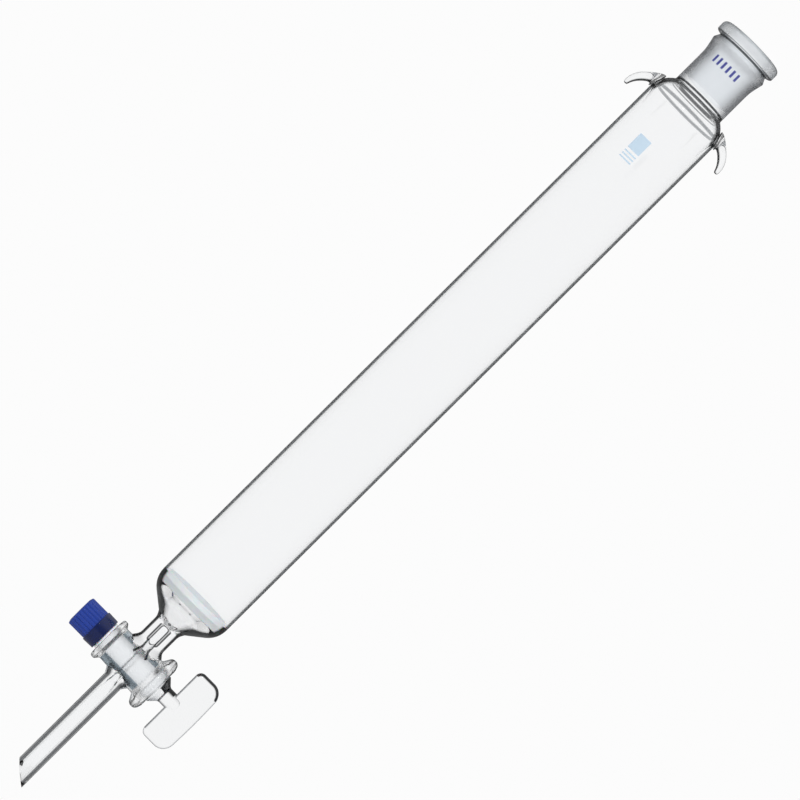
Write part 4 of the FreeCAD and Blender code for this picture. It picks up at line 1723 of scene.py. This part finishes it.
@dataclass
class Studio:
    """The pale floor, the white surround, the soft lamps and the camera.

    Attributes:
        floor_height: Height of the floor, under the stem's tip.
        white: Level at which the background shows.
        overhead: Level that shows through the glass from overhead and from the near floor.
        room: Level mirrored by the glass from eye level.
        ceiling: Level mirrored from overhead.
        ambient: Level that lights the pieces.
        dimming: Heights of a ray's direction between which the surround dims, as seen through the glass.
        mirror_dimming: The same as mirrored by it.
        floor_glow: Distances between which the floor seen through the glass goes from overhead to white.
        floor_fading: Distances between which the floor fades into the white.
        floor_share: Share of white in the floor before and after that.
        distance: Distance of the camera from the barrel's axis.
        lens: The camera's focal length in millimetres.
        sensor: Width of its sensor in millimetres.
        aim: Where it points, along X and Z.
        roll: How far it is turned about its line of sight.
    """

    floor_height: float
    white: float = 0.973
    overhead: float = 0.30
    room: float = 0.12
    ceiling: float = 0.45
    ambient: float = 0.85
    dimming: tuple[float, float] = (0.45, 0.95)
    mirror_dimming: tuple[float, float] = (0.2, 0.9)
    floor_glow: tuple[float, float] = (0.1, 0.5)
    floor_fading: tuple[float, float] = (0.35, 0.9)
    floor_share: tuple[float, float] = (0.85, 1.0)
    distance: float = 2.0
    lens: float = 210.0
    sensor: float = 36.0
    aim: tuple[float, float] = (1.20 * MM, -24.6 * MM)
    roll: float = math.radians(44.77)

    def make_world(self) -> None:
        """Surrounds the object with white at eye level, which dims overhead, in an otherwise dim room."""
        world = bpy.data.worlds.new("white_surround")
        bpy.context.scene.world = world
        world.use_nodes = True
        tree = world.node_tree
        surround = tree.nodes["Background"]
        place = tree.nodes.new("ShaderNodeTexCoord")
        split = tree.nodes.new("ShaderNodeSeparateXYZ")
        tree.links.new(place.outputs["Generated"], split.inputs["Vector"])
        height = split.outputs["Z"]
        through = fade(tree, height, *self.dimming, self.white, self.overhead)
        mirrored = fade(tree, height, *self.mirror_dimming, self.room, self.ceiling)
        light = tree.nodes.new("ShaderNodeLightPath")
        level = self._choose(tree, light.outputs["Is Glossy Ray"], self.ambient, mirrored)
        level = self._choose(tree, light.outputs["Is Transmission Ray"], level, through)
        level = self._choose(tree, light.outputs["Diffuse Depth"], level, self.ambient)
        level = self._choose(tree, light.outputs["Is Camera Ray"], level, self.white)
        tree.links.new(level, surround.inputs["Strength"])
        surround.inputs["Color"].default_value = (1.0, 1.0, 1.0, 1.0)

    def _choose(self, tree: NodeTree, switch: NodeSocket, off: Level, on: Level) -> NodeSocket:
        """A level that is one of two, by a switch. Each is a number or a socket."""
        node = tree.nodes.new("ShaderNodeMix")
        for label, level in {"Factor": switch, "A": off, "B": on}.items():
            feed(tree, node.inputs[label], level)
        return node.outputs["Result"]

    def make_floor(self) -> None:
        """Lays the pale floor, which keeps a faint shadow near the object and fades to white away from it."""
        deselect_all()
        bpy.ops.mesh.primitive_circle_add(
            vertices=96, radius=40.0, location=(0.0, 0.0, self.floor_height), fill_type="NGON"
        )
        floor = settle(bpy.context.object, "studio_floor")
        material, shader = new_material("pale_floor")
        tree = material.node_tree
        shader.inputs["Base Color"].default_value = (0.82, 0.82, 0.82, 1.0)
        shader.inputs["Roughness"].default_value = 0.9
        shader.inputs["Specular IOR Level"].default_value = 0.1

        far = tree.nodes.new("ShaderNodeVectorMath")
        far.operation = "LENGTH"
        tree.links.new(object_place(tree), far.inputs[0])
        through = fade(tree, far.outputs["Value"], *self.floor_glow, self.overhead, self.white)
        light = tree.nodes.new("ShaderNodeLightPath")
        level = self._choose(tree, light.outputs["Is Transmission Ray"], self.room, through)
        level = self._choose(tree, light.outputs["Diffuse Depth"], level, self.ambient)
        level = self._choose(tree, light.outputs["Is Camera Ray"], level, self.white)
        glow = tree.nodes.new("ShaderNodeEmission")
        tree.links.new(level, glow.inputs["Strength"])

        fading = fade(tree, far.outputs["Value"], *self.floor_fading, *self.floor_share)
        seen = calculate(tree, "MAXIMUM", light.outputs["Is Camera Ray"], light.outputs["Is Glossy Ray"])
        share = calculate(tree, "MULTIPLY", seen.outputs[0], fading)
        mix = tree.nodes.new("ShaderNodeMixShader")
        tree.links.new(share.outputs[0], mix.inputs[0])
        tree.links.new(shader.outputs[0], mix.inputs[1])
        tree.links.new(glow.outputs[0], mix.inputs[2])
        tree.links.new(mix.outputs[0], tree.nodes["Material Output"].inputs["Surface"])
        floor.data.materials.append(material)

    def make_lamp(
        self, name: str, place: tuple[float, float, float], size: tuple[float, float], power: float,
        mirrored: bool = False,
    ) -> None:
        """Hangs a soft rectangular lamp that points at the barrel.

        Args:
            name: The lamp's name.
            place: Where it hangs.
            size: Its width and height.
            power: Its power in watts.
            mirrored: Whether it shows as a highlight.
        """
        lamp = bpy.data.lights.new(name, "AREA")
        lamp.shape = "RECTANGLE"
        lamp.size, lamp.size_y = size
        lamp.energy = power
        holder = bpy.data.objects.new(name, lamp)
        holder.visible_glossy = mirrored
        holder.visible_transmission = False
        bpy.context.scene.collection.objects.link(holder)
        holder.location = place
        holder.rotation_mode = "QUATERNION"
        holder.rotation_quaternion = (-Vector(place)).to_track_quat("-Z", "Y")

    def make_lamps(self) -> None:
        """Hangs the three softboxes and the small lamp that shows as a highlight."""
        self.make_lamp("key_softbox", (-0.7, -1.5, 1.1), (0.5, 0.5), 14.0)
        self.make_lamp("fill_softbox", (1.5, -1.0, 0.3), (0.9, 0.9), 8.0)
        self.make_lamp("back_softbox", (0.3, 1.6, 0.9), (0.9, 0.9), 8.0)
        self.make_lamp("highlight_strip", (-0.35, -1.5, 0.75), (0.05, 0.05), 0.6, mirrored=True)

    def make_camera(self) -> None:
        """Sets the camera level with the column and rolls it, so that the barrel climbs to the right."""
        camera = bpy.data.cameras.new("camera")
        camera.lens = self.lens
        camera.sensor_width = self.sensor
        camera.clip_start = 0.01
        camera.clip_end = 100.0
        holder = bpy.data.objects.new("camera", camera)
        bpy.context.scene.collection.objects.link(holder)
        x, z = self.aim
        right = Vector((math.sin(self.roll), 0.0, math.cos(self.roll)))
        up = Vector((-math.cos(self.roll), 0.0, math.sin(self.roll)))
        back = Vector((0.0, -1.0, 0.0))
        turn = Matrix((right, up, back)).transposed()
        holder.matrix_world = Matrix.Translation((x, -self.distance, z)) @ turn.to_4x4()
        bpy.context.scene.camera = holder

    def make(self) -> None:
        """Builds the whole studio."""
        self.make_world()
        self.make_floor()
        self.make_lamps()
        self.make_camera()
        bpy.context.scene.view_settings.view_transform = "Standard"


# ----------------------------------------------------------------------------------------------- the assembly


def build_column(lathe: Lathe) -> Stopcock:
    """Builds the fused glass: barrel, socket, hooks, cone, disc and stopcock.

    Args:
        lathe: Turns the pieces.

    Returns:
        The stopcock, which the key is fitted to.
    """
    barrel_low, barrel_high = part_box("barrel")
    socket_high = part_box("joint_socket")[1]
    cone_low, cone_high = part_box("base_cone")
    disc_low, disc_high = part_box("sintered_disc")
    shell_low, shell_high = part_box("stopcock_shell")
    stem_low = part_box("outlet_stem")[0]

    barrel = Barrel(lathe, barrel_high.x, barrel_low.z, barrel_high.z, socket_high.z)
    fit_to_model(barrel.make_tube(), Body.COLUMN, Slot.CLEAR, "barrel")
    fit_to_model(barrel.make_socket(), Body.COLUMN, Slot.JOINT, "joint_socket")

    hooks = Hooks(barrel.top, barrel.radius)
    fit_to_model(hooks.make("left_spring_hook", -1), Body.COLUMN, Slot.CLEAR, "hook_left")
    fit_to_model(hooks.make("right_spring_hook", 1), Body.COLUMN, Slot.CLEAR, "hook_right")

    foot = Foot(lathe, cone_high.x, cone_high.z, cone_low.z, disc_high.x, disc_high.z, disc_low.z)
    fit_to_model(foot.make_cone(), Body.COLUMN, Slot.CLEAR, "base_cone")
    fit_to_model(foot.make_disc(), Body.COLUMN, Slot.SINTER, "sintered_disc")

    stopcock = Stopcock(lathe, shell_low.x, shell_high.x, cone_low.z, stem_low.z, foot)
    fit_to_model(stopcock.make_shell(), Body.COLUMN, Slot.CLEAR, "stopcock_shell")
    fit_to_model(stopcock.make_arm(), Body.COLUMN, Slot.CLEAR, "inlet_arm")
    fit_to_model(stopcock.make_stem(), Body.COLUMN, Slot.CLEAR, "outlet_stem")

    for mark in Markings(barrel).make():
        fit_to_model(mark, Body.COLUMN, Slot.NUT)
    return stopcock


def build_key(lathe: Lathe, stopcock: Stopcock) -> None:
    """Builds the key, its washer, the sealing ring and the nut.

    Args:
        lathe: Turns the pieces.
        stopcock: The shell that the key fits.
    """
    key_low, key_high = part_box("stopcock_key")
    key = Key(lathe, stopcock, key_low.x, key_high.x, (key_high.z - key_low.z) / 2)
    fit_to_model(key.make(), Body.KEY, Slot.KEY, "stopcock_key")

    spans = [
        (low.x, high.x)
        for low, high in (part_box(node) for node in ("thrust_washer", "sealing_ring", "retaining_nut"))
    ]
    retention = Retention(lathe, *spans)
    fit_to_model(retention.make_washer(), Body.KEY, Slot.PTFE, "thrust_washer")
    fit_to_model(retention.make_ring(), Body.SEAL, Slot.RUBBER, "sealing_ring")
    fit_to_model(retention.make_nut(), Body.NUT, Slot.NUT, "retaining_nut")


def main() -> None:
    """Builds the column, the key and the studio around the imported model."""
    logging.basicConfig(level=logging.INFO, format="%(message)s")
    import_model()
    shell_low, shell_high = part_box("stopcock_shell")
    lathe = Lathe((shell_low.z + shell_high.z) / 2)
    build_key(lathe, build_column(lathe))
    Studio(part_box("outlet_stem")[0].z - FLOOR_DROP).make()


if __name__ == "__main__":
    main()
